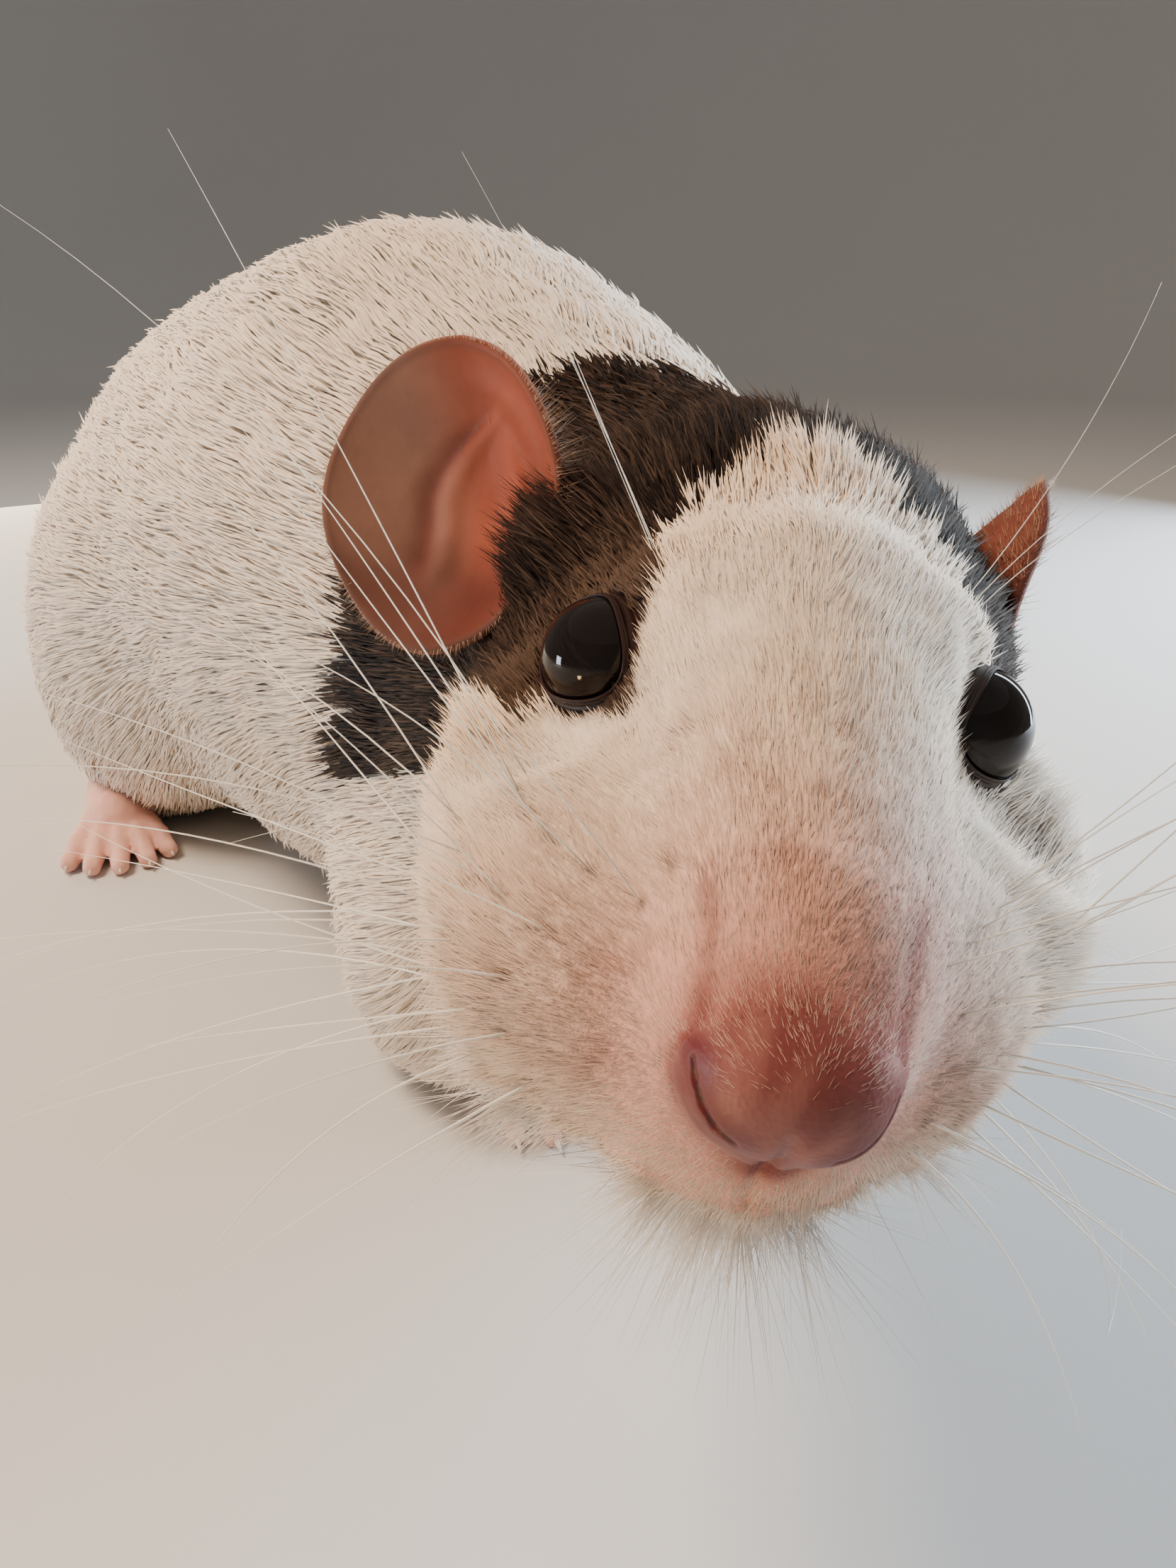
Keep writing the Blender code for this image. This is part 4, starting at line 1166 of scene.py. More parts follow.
def coat_roots(mesh):
    """Where hairs grow, drawn at random over the skin by area and density."""
    rng = np.random.default_rng(SEED)
    mesh.calc_loop_triangles()
    corners = np.empty(len(mesh.loop_triangles) * 3, np.int32)
    mesh.loop_triangles.foreach_get("vertices", corners)
    triangles = points_of(mesh)[corners.reshape(-1, 3)]
    first, second, third = triangles[:, 0], triangles[:, 1], triangles[:, 2]
    areas = norms(np.cross(second - first, third - first)) / 2
    wanted = areas * density_of_coat(triangles.mean(axis=1))
    count = int(wanted.sum())
    chosen = np.sort(rng.choice(len(areas), size=count, p=wanted / wanted.sum()))
    across, along = rng.random(count), rng.random(count)
    over = across + along > 1.0
    across[over], along[over] = 1.0 - across[over], 1.0 - along[over]
    roots = first[chosen] * (1 - across - along)[:, None]
    return roots + (second[chosen] * across[:, None] + third[chosen] * along[:, None])


def spine_place(points):
    """How far along the spine a point is, its direction from the spine, and how far off."""
    lengths = norms(np.diff(SPINE, axis=0))
    starts = np.concatenate([[0.0], np.cumsum(lengths)])
    best = np.full(len(points), 1e9)
    along = np.zeros(len(points))
    centre = np.zeros_like(points)
    for number, length in enumerate(lengths):
        run = SPINE[number + 1] - SPINE[number]
        share = np.clip((points - SPINE[number]) @ run / length**2, 0.0, 1.0)
        nearest = SPINE[number] + share[:, None] * run
        gap = norms(points - nearest)
        closer = gap < best
        best = np.where(closer, gap, best)
        along = np.where(closer, starts[number] + share * length, along)
        centre = np.where(closer[:, None], nearest, centre)
    return along, unit(points - centre), best


def unwrap(points):
    """The skin's own unwrap: along the spine, and round it from the belly."""
    along, offset, _ = spine_place(points)
    whole = norms(np.diff(SPINE, axis=0)).sum()
    across = (np.arctan2(offset[:, 0], offset[:, 2]) + math.pi) / (2 * math.pi)
    return UV_EDGE + (1.0 - UV_PATCH - 2 * UV_EDGE) * np.stack([across, along / whole], axis=1)


def hair_mesh(name, roots, normals, aims, ends, lengths, widths, colours, bent=False):
    """Many closed hairs: each a three-sided cone, or a spindle that bends where it is widest."""
    count = len(roots)
    rng = np.random.default_rng(SEED + count)
    across = unit(np.cross(aims, normals + 0.5 * rng.normal(size=(count, 3))))
    other = unit(np.cross(aims, across))
    widest = BEND if bent else -SUNK_SHARE
    middle = roots + aims * (lengths * widest)[:, None]
    points, shading = [], []
    for cosine, sine in zip(*circle(3)):
        spoke = across * cosine + other * sine
        points.append(middle + spoke * (widths / 2)[:, None])
        shading.append(unit(normals + OWN_NORMAL * spoke))
    points.append(middle + ends * (lengths * (1.0 - widest))[:, None])
    shading.append(unit(normals + OWN_NORMAL * ends))
    if bent:
        points.append(roots - aims * (lengths * SUNK_SHARE)[:, None])
        shading.append(normals)
    faces = np.array(BENT_FACES if bent else STRAIGHT_FACES)
    corners = len(points)
    loops = (np.arange(count)[:, None] * corners + faces.ravel()[None, :]).ravel()
    mesh = bpy.data.meshes.new(name)
    mesh.vertices.add(count * corners)
    mesh.loops.add(len(loops))
    mesh.polygons.add(len(loops) // 3)
    flat = (np.stack(points, axis=1).reshape(-1, 3) + SHIFT) * TO_METRES
    mesh.vertices.foreach_set("co", flat.ravel())
    mesh.loops.foreach_set("vertex_index", loops.astype(np.int32))
    mesh.polygons.foreach_set("loop_start", np.arange(0, len(loops), 3, dtype=np.int32))
    mesh.update(calc_edges=True)
    # Painted shade at each hair's root and painted light at its tip, put into its colours.
    shade_and_light = np.array(BENT_SHADE_AND_LIGHT if bent else STRAIGHT_SHADE_AND_LIGHT)
    set_tint(mesh, (colours[:, None, :] * shade_and_light[None, :, None]).reshape(-1, 3))
    set_vectors(mesh, "custom_normal", np.stack(shading, axis=1).reshape(-1, 3))
    layer = mesh.uv_layers.new(name="OFBake")
    places = unwrap(roots)[:, None, :] + PATCH_CORNERS[None, :corners, :] * UV_PATCH
    layer.data.foreach_set("uv", places.reshape(-1, 2)[loops].ravel())
    return mesh


def coat_pieces(name, material, slot, bent=False, **hairs):
    """Cuts a coat into pieces, each under the limit of triangles."""
    count = len(hairs["roots"])
    each = len(BENT_FACES if bent else STRAIGHT_FACES)
    pieces = max(1, math.ceil(count * each / MOST_TRIANGLES))
    for number in range(pieces):
        part = slice(number * count // pieces, (number + 1) * count // pieces)
        own = {key: value[part] for key, value in hairs.items()}
        mesh = hair_mesh(f"{name}_{number + 1}", bent=bent, **own)
        piece(f"{name}_{number + 1}", mesh, material, slot)


def regions(roots, from_nose):
    """How far each root belongs to the fur by an eye or an ear, or to chin, crown or cheek."""
    head = to_head(roots)
    left, back, low = head[:, 0], head[:, 1], -head[:, 2]
    folded = np.stack([np.abs(left), back, -low], axis=1)
    chin = ramp(low, *CHIN_HEIGHTS) * (1.0 - ramp(from_nose, 16.0, 24.0))
    ear = (1.0 - ramp(norms(folded - EAR_TUFT_PLACE), 2.0, 5.5)) * np.where(left < 0, 1.0, 0.35)
    crown = ramp(-low, 4.0, 10.0) * ramp(back, 2.0, 9.0) * (1.0 - ramp(from_nose, 46.0, 60.0))
    cheek = ramp(np.abs(left), 8.0, 13.0) * ramp(low, -1.0, 4.0) * (1.0 - ramp(from_nose, 30.0, 42.0))
    return 1.0 - ramp(eye_gap(roots), 3.6, 7.5), ear, chin, crown, cheek


def hair_colours(roots, from_nose, tuft, chin, rng):
    """Dark or brown under the hood, else white, creamy over the head and pink by the nose."""
    count = len(roots)
    dark = np.clip(hood(roots) + rng.normal(0, 0.10, count), 0, 1) > 0.5
    warm = np.clip(0.55 + 0.25 * waves(roots, 14.0, 41) + rng.normal(0, 0.15, count), 0, 1)
    pale = mix(WHITE_FUR, CREAM_FUR, warm * (1.0 - 0.8 * ramp(from_nose, 34.0, 48.0)))
    blush = (1.0 - ramp(from_nose, 4.0, 21.0)) * (0.8 + 0.2 * tuft)
    blush *= 1.0 - 0.75 * ramp(NOSE_CENTRE[2] - to_head(roots)[:, 2], 2.6, 5.0)
    pale = mix(pale, BLUSH_FUR, np.clip(blush, 0, 1))
    # Chin hairs whiter: partly their own white, partly painted light that stands in for light from below
    # on the chin.
    pale = mix(pale, CHIN_WHITE_AND_LIGHT, 0.85 * chin)
    # Hairs by the nostrils and in the crease take the same red and painted shade.
    pale = mix(pale, 1.5 * NOSE_RED_AND_SHADE, 0.9 * red_and_shade(roots))
    pale = pale * (1.0 - 0.55 * follicle(roots))[:, None]
    light = 0.2 * tuft + 0.6 * (1.0 - ramp(eye_gap(roots), 4.0, 9.0))
    brown = mix(DARK_FUR, BROWN_FUR, np.clip(0.6 * rng.random(count) ** 2 + light, 0, 1))
    return np.where(dark[:, None], brown, pale)


def make_coat(mesh, material):
    roots = coat_roots(mesh)
    roots = roots[np.argsort(off_nose(roots), kind="stable")]
    from_nose = off_nose(roots)
    rng = np.random.default_rng(SEED + 1)
    count = len(roots)
    normals = normals_of(skin_level, roots, step=0.3)
    tuft = waves(roots, 2.2, 31) * 0.5 + waves(roots, 6.0, 32) * 0.5
    by_eye, ear, chin, crown, cheek = regions(roots, from_nose)
    side = np.where(to_head(roots)[:, 0] < 0, -1.0, 1.0)

    lengths = np.interp(from_nose, *HAIR_LENGTHS)
    lengths *= 1.0 - np.where(side > 0, 0.08, 0.40) * by_eye
    lengths *= 1.0 - 0.45 * (1.0 - ramp(roots[:, 2], 3.0, 14.0))
    lengths *= rng.uniform(0.74, 1.18, count) * (1.0 + 0.13 * tuft) * (1.0 + CHIN_GROWTH * chin)
    lengths *= 1.0 + 1.7 * chin * (rng.random(count) < LONG_SHARE)
    lengths *= (1.0 + 0.8 * ear) * (1.0 + 0.35 * crown) * (1.0 + 0.40 * cheek)
    widths = np.interp(from_nose, *HAIR_WIDTHS) * rng.uniform(0.75, 1.2, count)

    lie = unit(lie_of_coat(roots, normals) + (0.45 * ear * side)[:, None] * HEAD_AXES[:, 0])
    lift = np.interp(from_nose, *HAIR_LIFTS) * (1.0 - 0.35 * by_eye)
    lift += np.interp(from_nose, *LIFT_SPREAD) * rng.normal(0, 1.0, count) + 4.0 * tuft
    lift = np.radians(lift + CHIN_LIFT * chin + 12.0 * ear + 8.0 * crown + 9.0 * cheek)
    stray = np.interp(from_nose, *STRAY)[:, None] * rng.normal(size=(count, 3))
    aims, ends = [
        unit(lie * np.cos(rise)[:, None] + normals * np.sin(rise)[:, None] + stray)
        for rise in (lift + ROOT_LIFT, lift - TIP_DROP)
    ]
    colours = hair_colours(roots, from_nose, tuft, chin, rng)
    tips_low = roots[:, 2] + (aims[:, 2] + ends[:, 2]) * lengths * 0.5 < COAT_FLOOR
    for vectors in (aims, ends):
        vectors[tips_low, 2] = np.maximum(vectors[tips_low, 2], 0.02)
    hairs = {
        "roots": roots, "normals": normals, "aims": unit(aims), "ends": unit(ends),
        "lengths": lengths, "widths": widths, "colours": colours,
    }
    on_face = from_nose < HEAD_REACH
    for name, chosen, bent in (("coat_head", on_face, False), ("coat_body", ~on_face, True)):
        own = {key: value[chosen] for key, value in hairs.items()}
        coat_pieces(name, material, "fur_white", bent=bent, **own)


# Eyes

LID_OPENING = 2.66
LID_CORNER = 0.30
LID_WIDTH = 0.65
LID_THICKNESS = 0.25
LID_SPOKES = 96
LID_STEPS = 14


def make_eyes():
    material = plain_material("eye", EYE_BLACK, 300.0, 0.6, 1.4, roughness=0.04, specular=0.32)
    lid_skin = bare_material("lid_skin", LID_BROWN, subsurface=0.05, bump=0.35, scale=2200.0)
    for name, side in SIDES.items():
        net = bmesh.new()
        bmesh.ops.create_uvsphere(net, u_segments=64, v_segments=40, radius=EYE_RADIUS)
        mesh = net_into(net, bpy.data.meshes.new(f"eye_ball_{name}"))
        set_points(mesh, points_of(mesh) + eye_centre(side))
        piece(f"eye_ball_{name}", in_metres(mesh), material, "eye", [f"eye_{name}"])
        make_lids(name, side, lid_skin)


def make_lids(name, side, material):
    """Both lids as one rim: it starts on the eyeball, rolls over and sinks under the skin."""
    centre, axis = eye_centre(side), eye_axis(side)
    ahead = -HEAD_AXES[:, 1]
    forward = unit(ahead - axis * (axis @ ahead))
    upward = np.cross(axis, forward) * -side
    cosines, sines = circle(LID_SPOKES)
    spread = cosines * forward + sines * upward
    turn = np.arange(LID_SPOKES) * 2 * math.pi / LID_SPOKES
    opening = LID_OPENING + LID_CORNER * np.maximum(0.0, np.cos(turn)) ** 3 + 0.06 * np.cos(3 * turn)
    starts = centre + spread * (opening + LID_WIDTH)[:, None] - axis * 4.0
    rise = reach(skin_level, starts, np.tile(axis, (LID_SPOKES, 1)), 12.0) - 4.0
    inner_height = np.sqrt((EYE_RADIUS + 0.03) ** 2 - opening**2)
    points = []
    for step in range(LID_STEPS):
        share = step / (LID_STEPS - 1)
        radius = opening + LID_WIDTH * share
        slide = share**0.8
        height = inner_height * (1 - slide) + (rise - 0.25) * slide
        height = height + 0.30 * bell(share - 0.16, 0.15) + 0.10 * bell(share - 0.6, 0.10)
        height = height - (0.30 if step == 0 else 0.0)
        points.append(centre + spread * radius[:, None] + axis * height[:, None])
    faces = [face[:1] + face[:0:-1] for face in ring_faces(LID_STEPS, LID_SPOKES)]
    if side < 0:
        faces = turned(faces)
    mesh = new_mesh(f"lids_{name}", np.concatenate(points), faces)
    shell = piece(f"lids_{name}", mesh, material, "fur_dark").modifiers.new("Shell", "SOLIDIFY")
    shell.thickness = LID_THICKNESS * TO_METRES
    shell.offset = -1.0


# Ears

EAR_RINGS = 34
EAR_SPOKES = 120
EAR_FOLD_WIDTH = 0.10
EAR_FOLD_DEPTH = 0.30
EAR_HAIRS = 5200
EAR_HAIR_WIDTH = 0.055


def ear_frame(side, root, out, up):
    """The ear's centre, and its directions outward, down and out of the cup."""
    out = unit(np.array(out))
    face = unit(np.cross(out, up)) * side
    down = unit(np.cross(face, out)) * -side
    centre = np.array(root) + out * (EAR_HALF_WIDTH * 0.86) + down * 0.8
    return centre, out, down, face


def ear_fold(out, down):
    """1 along the fold that runs down the cup and turns in towards its root."""
    line = 0.34 - 1.25 * np.maximum(0.0, -down) ** 2
    ends = ramp(down, -0.72, -0.45) * (1.0 - ramp(down, 0.35, 0.62))
    return bell(out - line, EAR_FOLD_WIDTH) * ends


def ear_points(own, share, angle):
    """Points of the ear's sheet: share 0 at the bottom of the cup, 1 at the rim."""
    centre, out, down, face = own
    outwards, downwards = np.cos(angle), np.sin(angle)
    inwards = np.maximum(0.0, -outwards)
    wide = EAR_HALF_WIDTH * (1.0 + 0.05 * np.cos(2 * angle + 0.6)) * (1.0 - EAR_INNER_SIDE * inwards)
    tall = EAR_HALF_HEIGHT * (1.0 - 0.10 * inwards)
    curl = 1.3 * share**4 * (0.4 - 0.6 * outwards)
    ripple = 0.20 * np.sin(5 * angle + 1.0) * share**3
    ripple += 0.75 * bell(share - 0.50, 0.12) * inwards**2
    ripple += 0.45 * bell(share - 0.78, 0.09) * np.maximum(0.0, np.cos(angle - 3.9)) ** 3
    ripple -= EAR_FOLD_DEPTH * ear_fold(outwards * share, downwards * share)
    ripple += EAR_FOLD_DEPTH * ear_fold(outwards * share + 1.7 * EAR_FOLD_WIDTH, downwards * share)
    depth = EAR_CUP * (1.0 - share**2.2) - curl - ripple
    spots = centre + out * (outwards * share * wide)[:, None] + down * (downwards * share * tall)[:, None]
    return spots - face * depth[:, None]


def ear_colours(side, share, angle):
    """Taupe outside; red inside, partly the skin's own red and partly painted glow of light coming
    through; dusky below, partly its own colour and partly painted shade; darker in the fold as painted
    shade, and on the rim; the left ear darker all over as painted shade.
    """
    inner, low = -np.cos(angle) * share, np.sin(angle) * share
    # Red inside: partly the skin's own red, partly painted glow of light coming through the ear.
    colours = mix(EAR_TAUPE, EAR_RED_GLOW, ramp(inner - 0.15 * low, -0.45, 0.20))
    # Darker below: partly the ear's own dusky colour, partly painted shade at its lower base.
    colours = mix(colours, EAR_DUSK_SHADE, 0.80 * ramp(low, 0.0, 0.70))
    # Darker along the fold: painted shade in the crease.
    colours = mix(colours, EAR_FOLD_SHADE, 0.7 * ear_fold(-inner, low))
    colours = mix(colours, EAR_RIM, 0.6 * ramp(share, 0.93, 1.0))
    # The left ear is darkened all over: painted shade.
    return mix(colours, EAR_SHADE, 0.65) if side > 0 else colours


def make_ears(fur):
    material = ear_material()
    for name, values in EARS.items():
        side = values["side"]
        own = ear_frame(**values)
        share = np.concatenate([[0.0], np.repeat(np.arange(1, EAR_RINGS + 1) / EAR_RINGS, EAR_SPOKES)])
        turns = np.arange(EAR_SPOKES) * 2 * math.pi / EAR_SPOKES
        angle = np.concatenate([[0.0], np.tile(turns, EAR_RINGS)])
        faces = [(0, 1 + spoke, 1 + (spoke + 1) % EAR_SPOKES) for spoke in range(EAR_SPOKES)]
        faces += ring_faces(EAR_RINGS, EAR_SPOKES, first=1)
        if side > 0:
            faces = turned(faces)
        mesh = new_mesh(f"ear_shell_{name}", from_head(ear_points(own, share, angle)), faces)
        set_tint(mesh, ear_colours(side, share, angle))
        thing = piece(f"ear_shell_{name}", mesh, material, "ear_skin", [f"ear_{name}"])
        shell = thing.modifiers.new("Shell", "SOLIDIFY")
        shell.thickness = EAR_THICKNESS * TO_METRES
        shell.offset = 0.0
        ear_hairs(name, side, own, fur)


def ear_hairs(name, side, own, fur):
    """Fine down on both faces of the ear, shorter on its rim and longer at its root."""
    rng = np.random.default_rng(SEED + 60 + side)
    centre, _, _, face = own
    shares = np.sqrt(rng.uniform(0.05, 1.0, EAR_HAIRS))
    on_rim = rng.random(EAR_HAIRS) < 0.2
    shares[on_rim] = rng.uniform(0.95, 1.0, int(on_rim.sum()))
    angles = rng.uniform(0, 2 * math.pi, EAR_HAIRS)
    spots = ear_points(own, shares, angles)
    normals = face * np.where(rng.random(EAR_HAIRS) < 0.5, 1.0, -1.0)[:, None]
    aims = unit(unit(spots - centre) * 0.9 + normals * 0.35 + rng.normal(0, 0.15, (EAR_HAIRS, 3)))
    near_root = ramp(-np.cos(angles) * shares, 0.55, 0.95)
    lengths = rng.uniform(0.5, 1.1, EAR_HAIRS) + 1.6 * near_root
    colours = mix(*EAR_DOWN, rng.random(EAR_HAIRS) ** 2)
    colours[on_rim] = EAR_RIM_DOWN
    lengths[on_rim] = rng.uniform(0.3, 0.7, int(on_rim.sum()))
    aims = aims @ HEAD_AXES.T
    coat_pieces(
        f"ear_down_{name}", fur, "fur_dark", roots=from_head(spots + normals * EAR_THICKNESS * 0.45),
        normals=normals @ HEAD_AXES.T, aims=aims, ends=aims,
        lengths=lengths, widths=np.full(EAR_HAIRS, EAR_HAIR_WIDTH), colours=colours,
    )


# Paws

CLAW_SIDES = 8
CLAW_RINGS = 6
CLAW_DROP = 0.25
PAW_NET = 0.38
PAW_FLOOR = 0.04


def foot_forms(heel, toes, length, width, toe_length, toe_radius, count):
    """A paw lying flat: a sole, and toes that fan out from its front edge."""
    heel, toes = np.array(heel, float), np.array(toes, float)
    forward = unit(toes - heel)
    sideways = np.array([-forward[1], forward[0], 0.0])
    palm = heel + forward * (length - toe_length)
    forms = [bone(heel, palm, width * 0.36, width * 0.44, blend=1.5)]
    tips = []
    for spread in np.linspace(-1.0, 1.0, count):
        root = palm + sideways * spread * width * 0.36
        length_here = toe_length * (1.0 - 0.22 * spread**2)
        aim = unit(forward + sideways * spread * 0.30)
        knuckle = root + aim * length_here * 0.55
        tip = root + aim * length_here
        knuckle[2] = toe_radius * 1.25
        tip[2] = toe_radius * 0.85
        forms.append(bone(root, knuckle, toe_radius * 1.05, toe_radius, blend=0.8))
        forms.append(bone(knuckle, tip, toe_radius, toe_radius * 0.8, blend=0.5))
        tips.append((tip, aim))
    return forms, tips


def claw_points(tip, aim, radius):
    """The rings of a curved cone that leaves the toe's end and bends down, then its point."""
    across = unit(np.cross(aim, (0.0, 0.0, 1.0)))
    cosines, sines = circle(CLAW_SIDES)
    spokes = cosines * across * 0.8 + sines * np.array((0.0, 0.0, 1.0))
    rings = []
    for share in np.arange(CLAW_RINGS) / CLAW_RINGS:
        spot = tip + aim * (CLAW_LENGTH * share - radius) + (0, 0, CLAW_DROP - 0.55 * share**2)
        rings.append(spot + spokes * radius * (1.0 - share) ** 0.7)
    return np.vstack([*rings, tip + aim * (CLAW_LENGTH - radius) - (0, 0, CLAW_DROP)])


def claw_faces(first):
    last = first + (CLAW_RINGS - 1) * CLAW_SIDES
    faces = ring_faces(CLAW_RINGS, CLAW_SIDES, first) + [tuple(range(first, first + CLAW_SIDES))]
    for corner in range(CLAW_SIDES):
        faces.append((last + corner, last + CLAW_SIDES, last + (corner + 1) % CLAW_SIDES))
    return faces


def make_paws():
    skin = bare_material("paw_skin", PAW_SKIN, subsurface=0.2, bump=0.5, scale=1800.0)
    horn = plain_material("claw", CLAW_HORN, 90.0, 0.85, 1.1, roughness=0.3)
    for kind, sizes in PAWS.items():
        place = HIPS if kind == "hindfoot" else Matrix.Identity(4)
        for name, side in SIDES.items():
            own = dict(sizes)
            for end in ("heel", "toes"):
                own[end] = place @ Vector(np.array(sizes[end]) * (side, 1.0, 1.0))
            forms, tips = foot_forms(**own)

            def level(points, forms=forms):
                return field(forms, points) + 0.06 * waves(points, 1.4, 71)

            mesh = remeshed(forms, PAW_NET)
            points = settle(level, points_of(mesh), rounds=4)
            points[:, 2] = np.maximum(points[:, 2], PAW_FLOOR)
            set_points(mesh, points)
            piece(f"{kind}_skin_{name}", in_metres(mesh), skin, "bare_skin", [f"{kind}_{name}"])
            claws = [claw_points(tip, aim, sizes["toe_radius"] * 0.45) for tip, aim in tips]
            faces = [face for number in range(len(claws)) for face in claw_faces(number * len(claws[0]))]
            mesh = new_mesh(f"{kind}_claws_{name}", np.vstack(claws), faces)
            piece(f"{kind}_claws_{name}", mesh, horn, "claw")


# Tail

TAIL_SIDES = 28
TAIL_DROP = 42.0
TAIL_CLOSING = 2.0
TAIL_SCALE_RISE = 0.045
TAIL_FLOOR = 0.03
TAIL_HAIRS = 16
TAIL_HAIR_WIDTH = 0.05


def tail_radius(along):
    share = np.clip(along / TAIL_LENGTH, 0.0, 1.0)
    return TAIL_RADIUS + (TAIL_TIP_RADIUS - TAIL_RADIUS) * share**0.85


def tail_point(along):
    """The tail's middle line: down from the rump, then an arc on the floor."""
    angle = along / TAIL_BEND_RADIUS
    x = TAIL_ROOT[0] + TAIL_BEND_RADIUS * (1.0 - math.cos(angle))
    y = TAIL_ROOT[1] + TAIL_BEND_RADIUS * math.sin(angle)
    floor_height = float(tail_radius(along)) * 0.9
    ease = float(ramp(1.0 - along / TAIL_DROP, 0.0, 1.0))
    return np.array(HIPS @ Vector((x, y, floor_height + (TAIL_ROOT[2] - floor_height) * ease)))


def make_tail(fur):
    """A tube with the rings of scales standing in its surface, and fine hairs."""
    stations = np.arange(0.0, TAIL_LENGTH, TAIL_RING / 4)
    path = np.array([tail_point(along) for along in stations])
    aims = unit(np.array([tail_point(along + 0.5) for along in stations]) - path)
    across = unit(np.cross(aims, (0.0, 0.0, 1.0)))
    lift = np.cross(across, aims)
    closing = np.sqrt(np.clip((TAIL_LENGTH - stations) / TAIL_CLOSING, 0.0, 1.0))
    scales = 1.0 + TAIL_SCALE_RISE * np.cos(2 * math.pi * stations / TAIL_RING)
    points = tube_points(path, across, lift, tail_radius(stations) * scales * closing, TAIL_SIDES)
    points[:, 2] = np.maximum(points[:, 2], TAIL_FLOOR)
    mesh = new_mesh("tail", points, tube_faces(len(stations), TAIL_SIDES))
    material = bare_material("tail_skin", TAIL_SKIN, subsurface=0.12, bump=0.5, scale=2200.0)
    piece("tail", mesh, material, "bare_skin", [f"tail_{number}" for number in range(1, 5)])

    rng = np.random.default_rng(SEED + 80)
    along, path, aims, across, lift = [
        np.repeat(values[::4], TAIL_HAIRS, axis=0) for values in (stations, path, aims, across, lift)
    ]
    count = len(along)
    angles = rng.uniform(-0.4, math.pi + 0.4, count)[:, None]
    outwards = across * np.cos(angles) + lift * np.sin(angles)
    aims = unit(aims + outwards * 0.32 + rng.normal(0, 0.08, path.shape))
    coat_pieces(
        "tail_hairs", fur, "fur_white", roots=path + outwards * tail_radius(along)[:, None] * 0.98,
        normals=outwards, aims=aims, ends=aims, lengths=rng.uniform(0.9, 1.7, count),
        widths=np.full(count, TAIL_HAIR_WIDTH), colours=mix(*TAIL_HAIR, rng.random(count)),
    )


# Whiskers

WHISKER_SIDES = 5
WHISKER_STEPS = 15
WHISKER_TAPER = 0.86
WHISKER_TIP_RADIUS = 0.004
WHISKER_UP = (0.3, 0.2, 0.93)


def make_whiskers():
    material = plain_material("whisker", WHISKER_WHITE, 90.0, 0.85, 1.1, roughness=0.32)
    shares = np.linspace(0.0, 1.0, WHISKER_STEPS)
    for name, side in SIDES.items():
        points, faces = [], []
        for root, aim, length, bend, radius in WHISKERS[side]:
            path = root + aim * length * shares[:, None] + bend * length * shares[:, None] ** 2
            path[:, 2] = np.maximum(path[:, 2], 0.4 + 2.0 * shares)
            aims = unit(np.gradient(path, axis=0))
            across = unit(np.cross(aims, WHISKER_UP))
            radii = radius * (1.0 - WHISKER_TAPER * shares) + WHISKER_TIP_RADIUS
            faces += tube_faces(WHISKER_STEPS, WHISKER_SIDES, first=len(points))
            points += list(tube_points(path, across, np.cross(across, aims), radii, WHISKER_SIDES))
        mesh = new_mesh(f"whiskers_{name}", np.array(points), faces)
        piece(f"whiskers_{name}", mesh, material, "whisker")


# Stage, in metres

FLOOR_FLAT = 0.9
FLOOR_BEND = 0.7
FLOOR_WALL = 1.3
FLOOR_SIDES = 96
FLOOR_STEPS = 20


def make_stage():
    """A pale floor that curves up far from the rat on every side."""
    profile = [(0.02, 0.0), (0.3, 0.0), (FLOOR_FLAT, 0.0)]
    for step in range(1, FLOOR_STEPS + 1):
        angle = math.pi / 2 * step / FLOOR_STEPS
        profile.append((FLOOR_FLAT + FLOOR_BEND * math.sin(angle), FLOOR_BEND * (1.0 - math.cos(angle))))
    profile.append((FLOOR_FLAT + FLOOR_BEND, FLOOR_WALL))
    spokes = np.hstack([*circle(FLOOR_SIDES), np.zeros((FLOOR_SIDES, 1))])
    points = np.vstack([spokes * radius + (0.0, 0.0, height) for radius, height in profile])
    mesh = bpy.data.meshes.new("floor")
    mesh.from_pydata(points, [], ring_faces(len(profile), FLOOR_SIDES) + [tuple(range(FLOOR_SIDES))])
    mesh.shade_smooth()
    mesh.materials.append(plain_material("floor", FLOOR_GREY, 6.0, 0.98, 1.02, roughness=0.9))
    floor = placed("floor", mesh)


def camera_axes():
    """Right, down and ahead, as the lens sees them."""
    yaw, pitch = math.radians(CAMERA_YAW), math.radians(CAMERA_PITCH)
    right = Vector((math.cos(yaw), -math.sin(yaw), 0.0))
    level = Vector((math.sin(yaw), math.cos(yaw), 0.0))
    up = Vector((0.0, 0.0, 1.0))
    ahead = math.cos(pitch) * level - math.sin(pitch) * up
    return right, -(math.cos(pitch) * up + math.sin(pitch) * level), ahead


def from_lens(*spot):
    """A point of the model, given as how far right, down and ahead of the lens it lies."""
    offset = Vector(spot) - Vector(HEAD_FROM_LENS)
    place = sum((axis * part for axis, part in zip(camera_axes(), offset)), Vector(HEAD_PLACE))
    return (place + Vector(SHIFT)) * TO_METRES


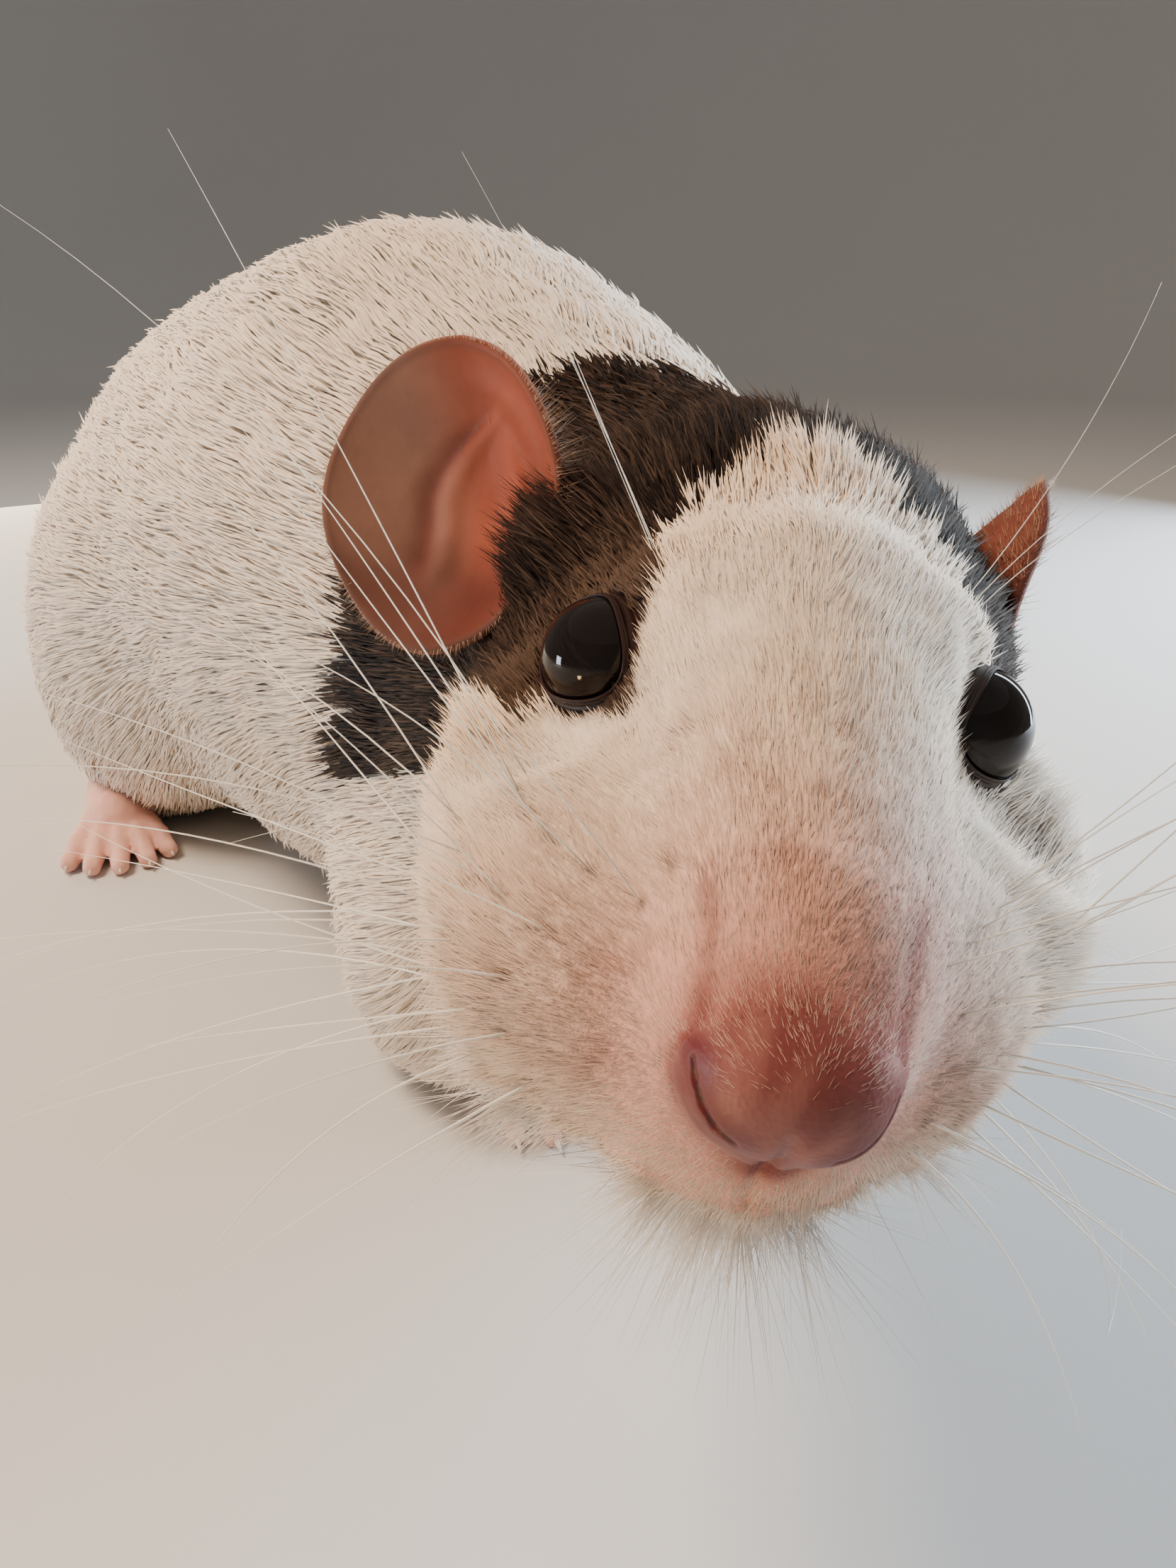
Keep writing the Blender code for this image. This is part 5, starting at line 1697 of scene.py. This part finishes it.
def make_camera():
    right, down, ahead = camera_axes()
    camera = bpy.data.cameras.new("camera")
    camera.sensor_width = SENSOR
    camera.lens = FOCAL_PIXELS * SENSOR / PHOTO_LONG_SIDE
    camera.clip_start = 0.003
    place = Matrix((right, -down, -ahead)).transposed().to_4x4()
    place.translation = from_lens(0.0, 0.0, 0.0)
    thing = placed("camera", camera)
    thing.matrix_world = place
    bpy.context.scene.camera = thing


# Each light's name, place as the lens sees it, width and height in metres, roll, power and colour
LIGHTS = (
    ("key", (-230.0, -360.0, -60.0), (0.16, 0.16), 0.0, 3.15, (1.0, 0.75, 0.53)),
    ("window", (-320.0, 10.0, 52.0), (0.06, 0.06), 0.0, 0.35, (0.80, 0.90, 1.0)),
    ("spark", (-56.5, 47.2, 14.1), (0.010, 0.010), 0.0, 0.02, (1.0, 0.62, 0.25)),
    ("rim_right", (330.0, -70.0, 230.0), (0.36, 0.36), 0.0, 7.8, (0.72, 0.86, 1.0)),
    ("rim_left", (-260.0, -160.0, 330.0), (0.22, 0.22), 0.0, 1.4, (1.0, 0.78, 0.58)),
    ("crescent", (224.0, -142.0, 215.0), (0.030, 0.30), -40.0, 0.5, (0.75, 0.90, 1.0)),
)
NO_GLINT = ("key", "rim_left", "rim_right")
SKY_COLOUR = (1.0, 0.94, 0.87, 1.0)
SKY_STRENGTH = 0.32


def make_lights():
    target = from_lens(*HEAD_FROM_LENS)
    for name, place, (wide, tall), roll, power, colour in LIGHTS:
        light = bpy.data.lights.new(name, "AREA")
        light.shape = "RECTANGLE"
        light.size = wide
        light.size_y = tall
        light.energy = power
        light.color = colour
        thing = placed(name, light)
        thing.location = from_lens(*place)
        thing.rotation_mode = "QUATERNION"
        aim = (target - thing.location).to_track_quat("-Z", "Y")
        thing.rotation_quaternion = aim @ Quaternion((0.0, 0.0, 1.0), math.radians(roll))
        thing.visible_camera = False
        thing.visible_glossy = name not in NO_GLINT
    world = bpy.data.worlds.new("studio")
    world.use_nodes = True
    sky = world.node_tree.nodes["Background"]
    sky.inputs["Color"].default_value = SKY_COLOUR
    sky.inputs["Strength"].default_value = SKY_STRENGTH
    bpy.context.scene.world = world


make_camera()
make_lights()
make_stage()
skin = make_skin()
fur = fur_material()
make_coat(skin, fur)
finish_skin(skin)
make_eyes()
make_ears(fur)
make_paws()
make_tail(fur)
make_whiskers()
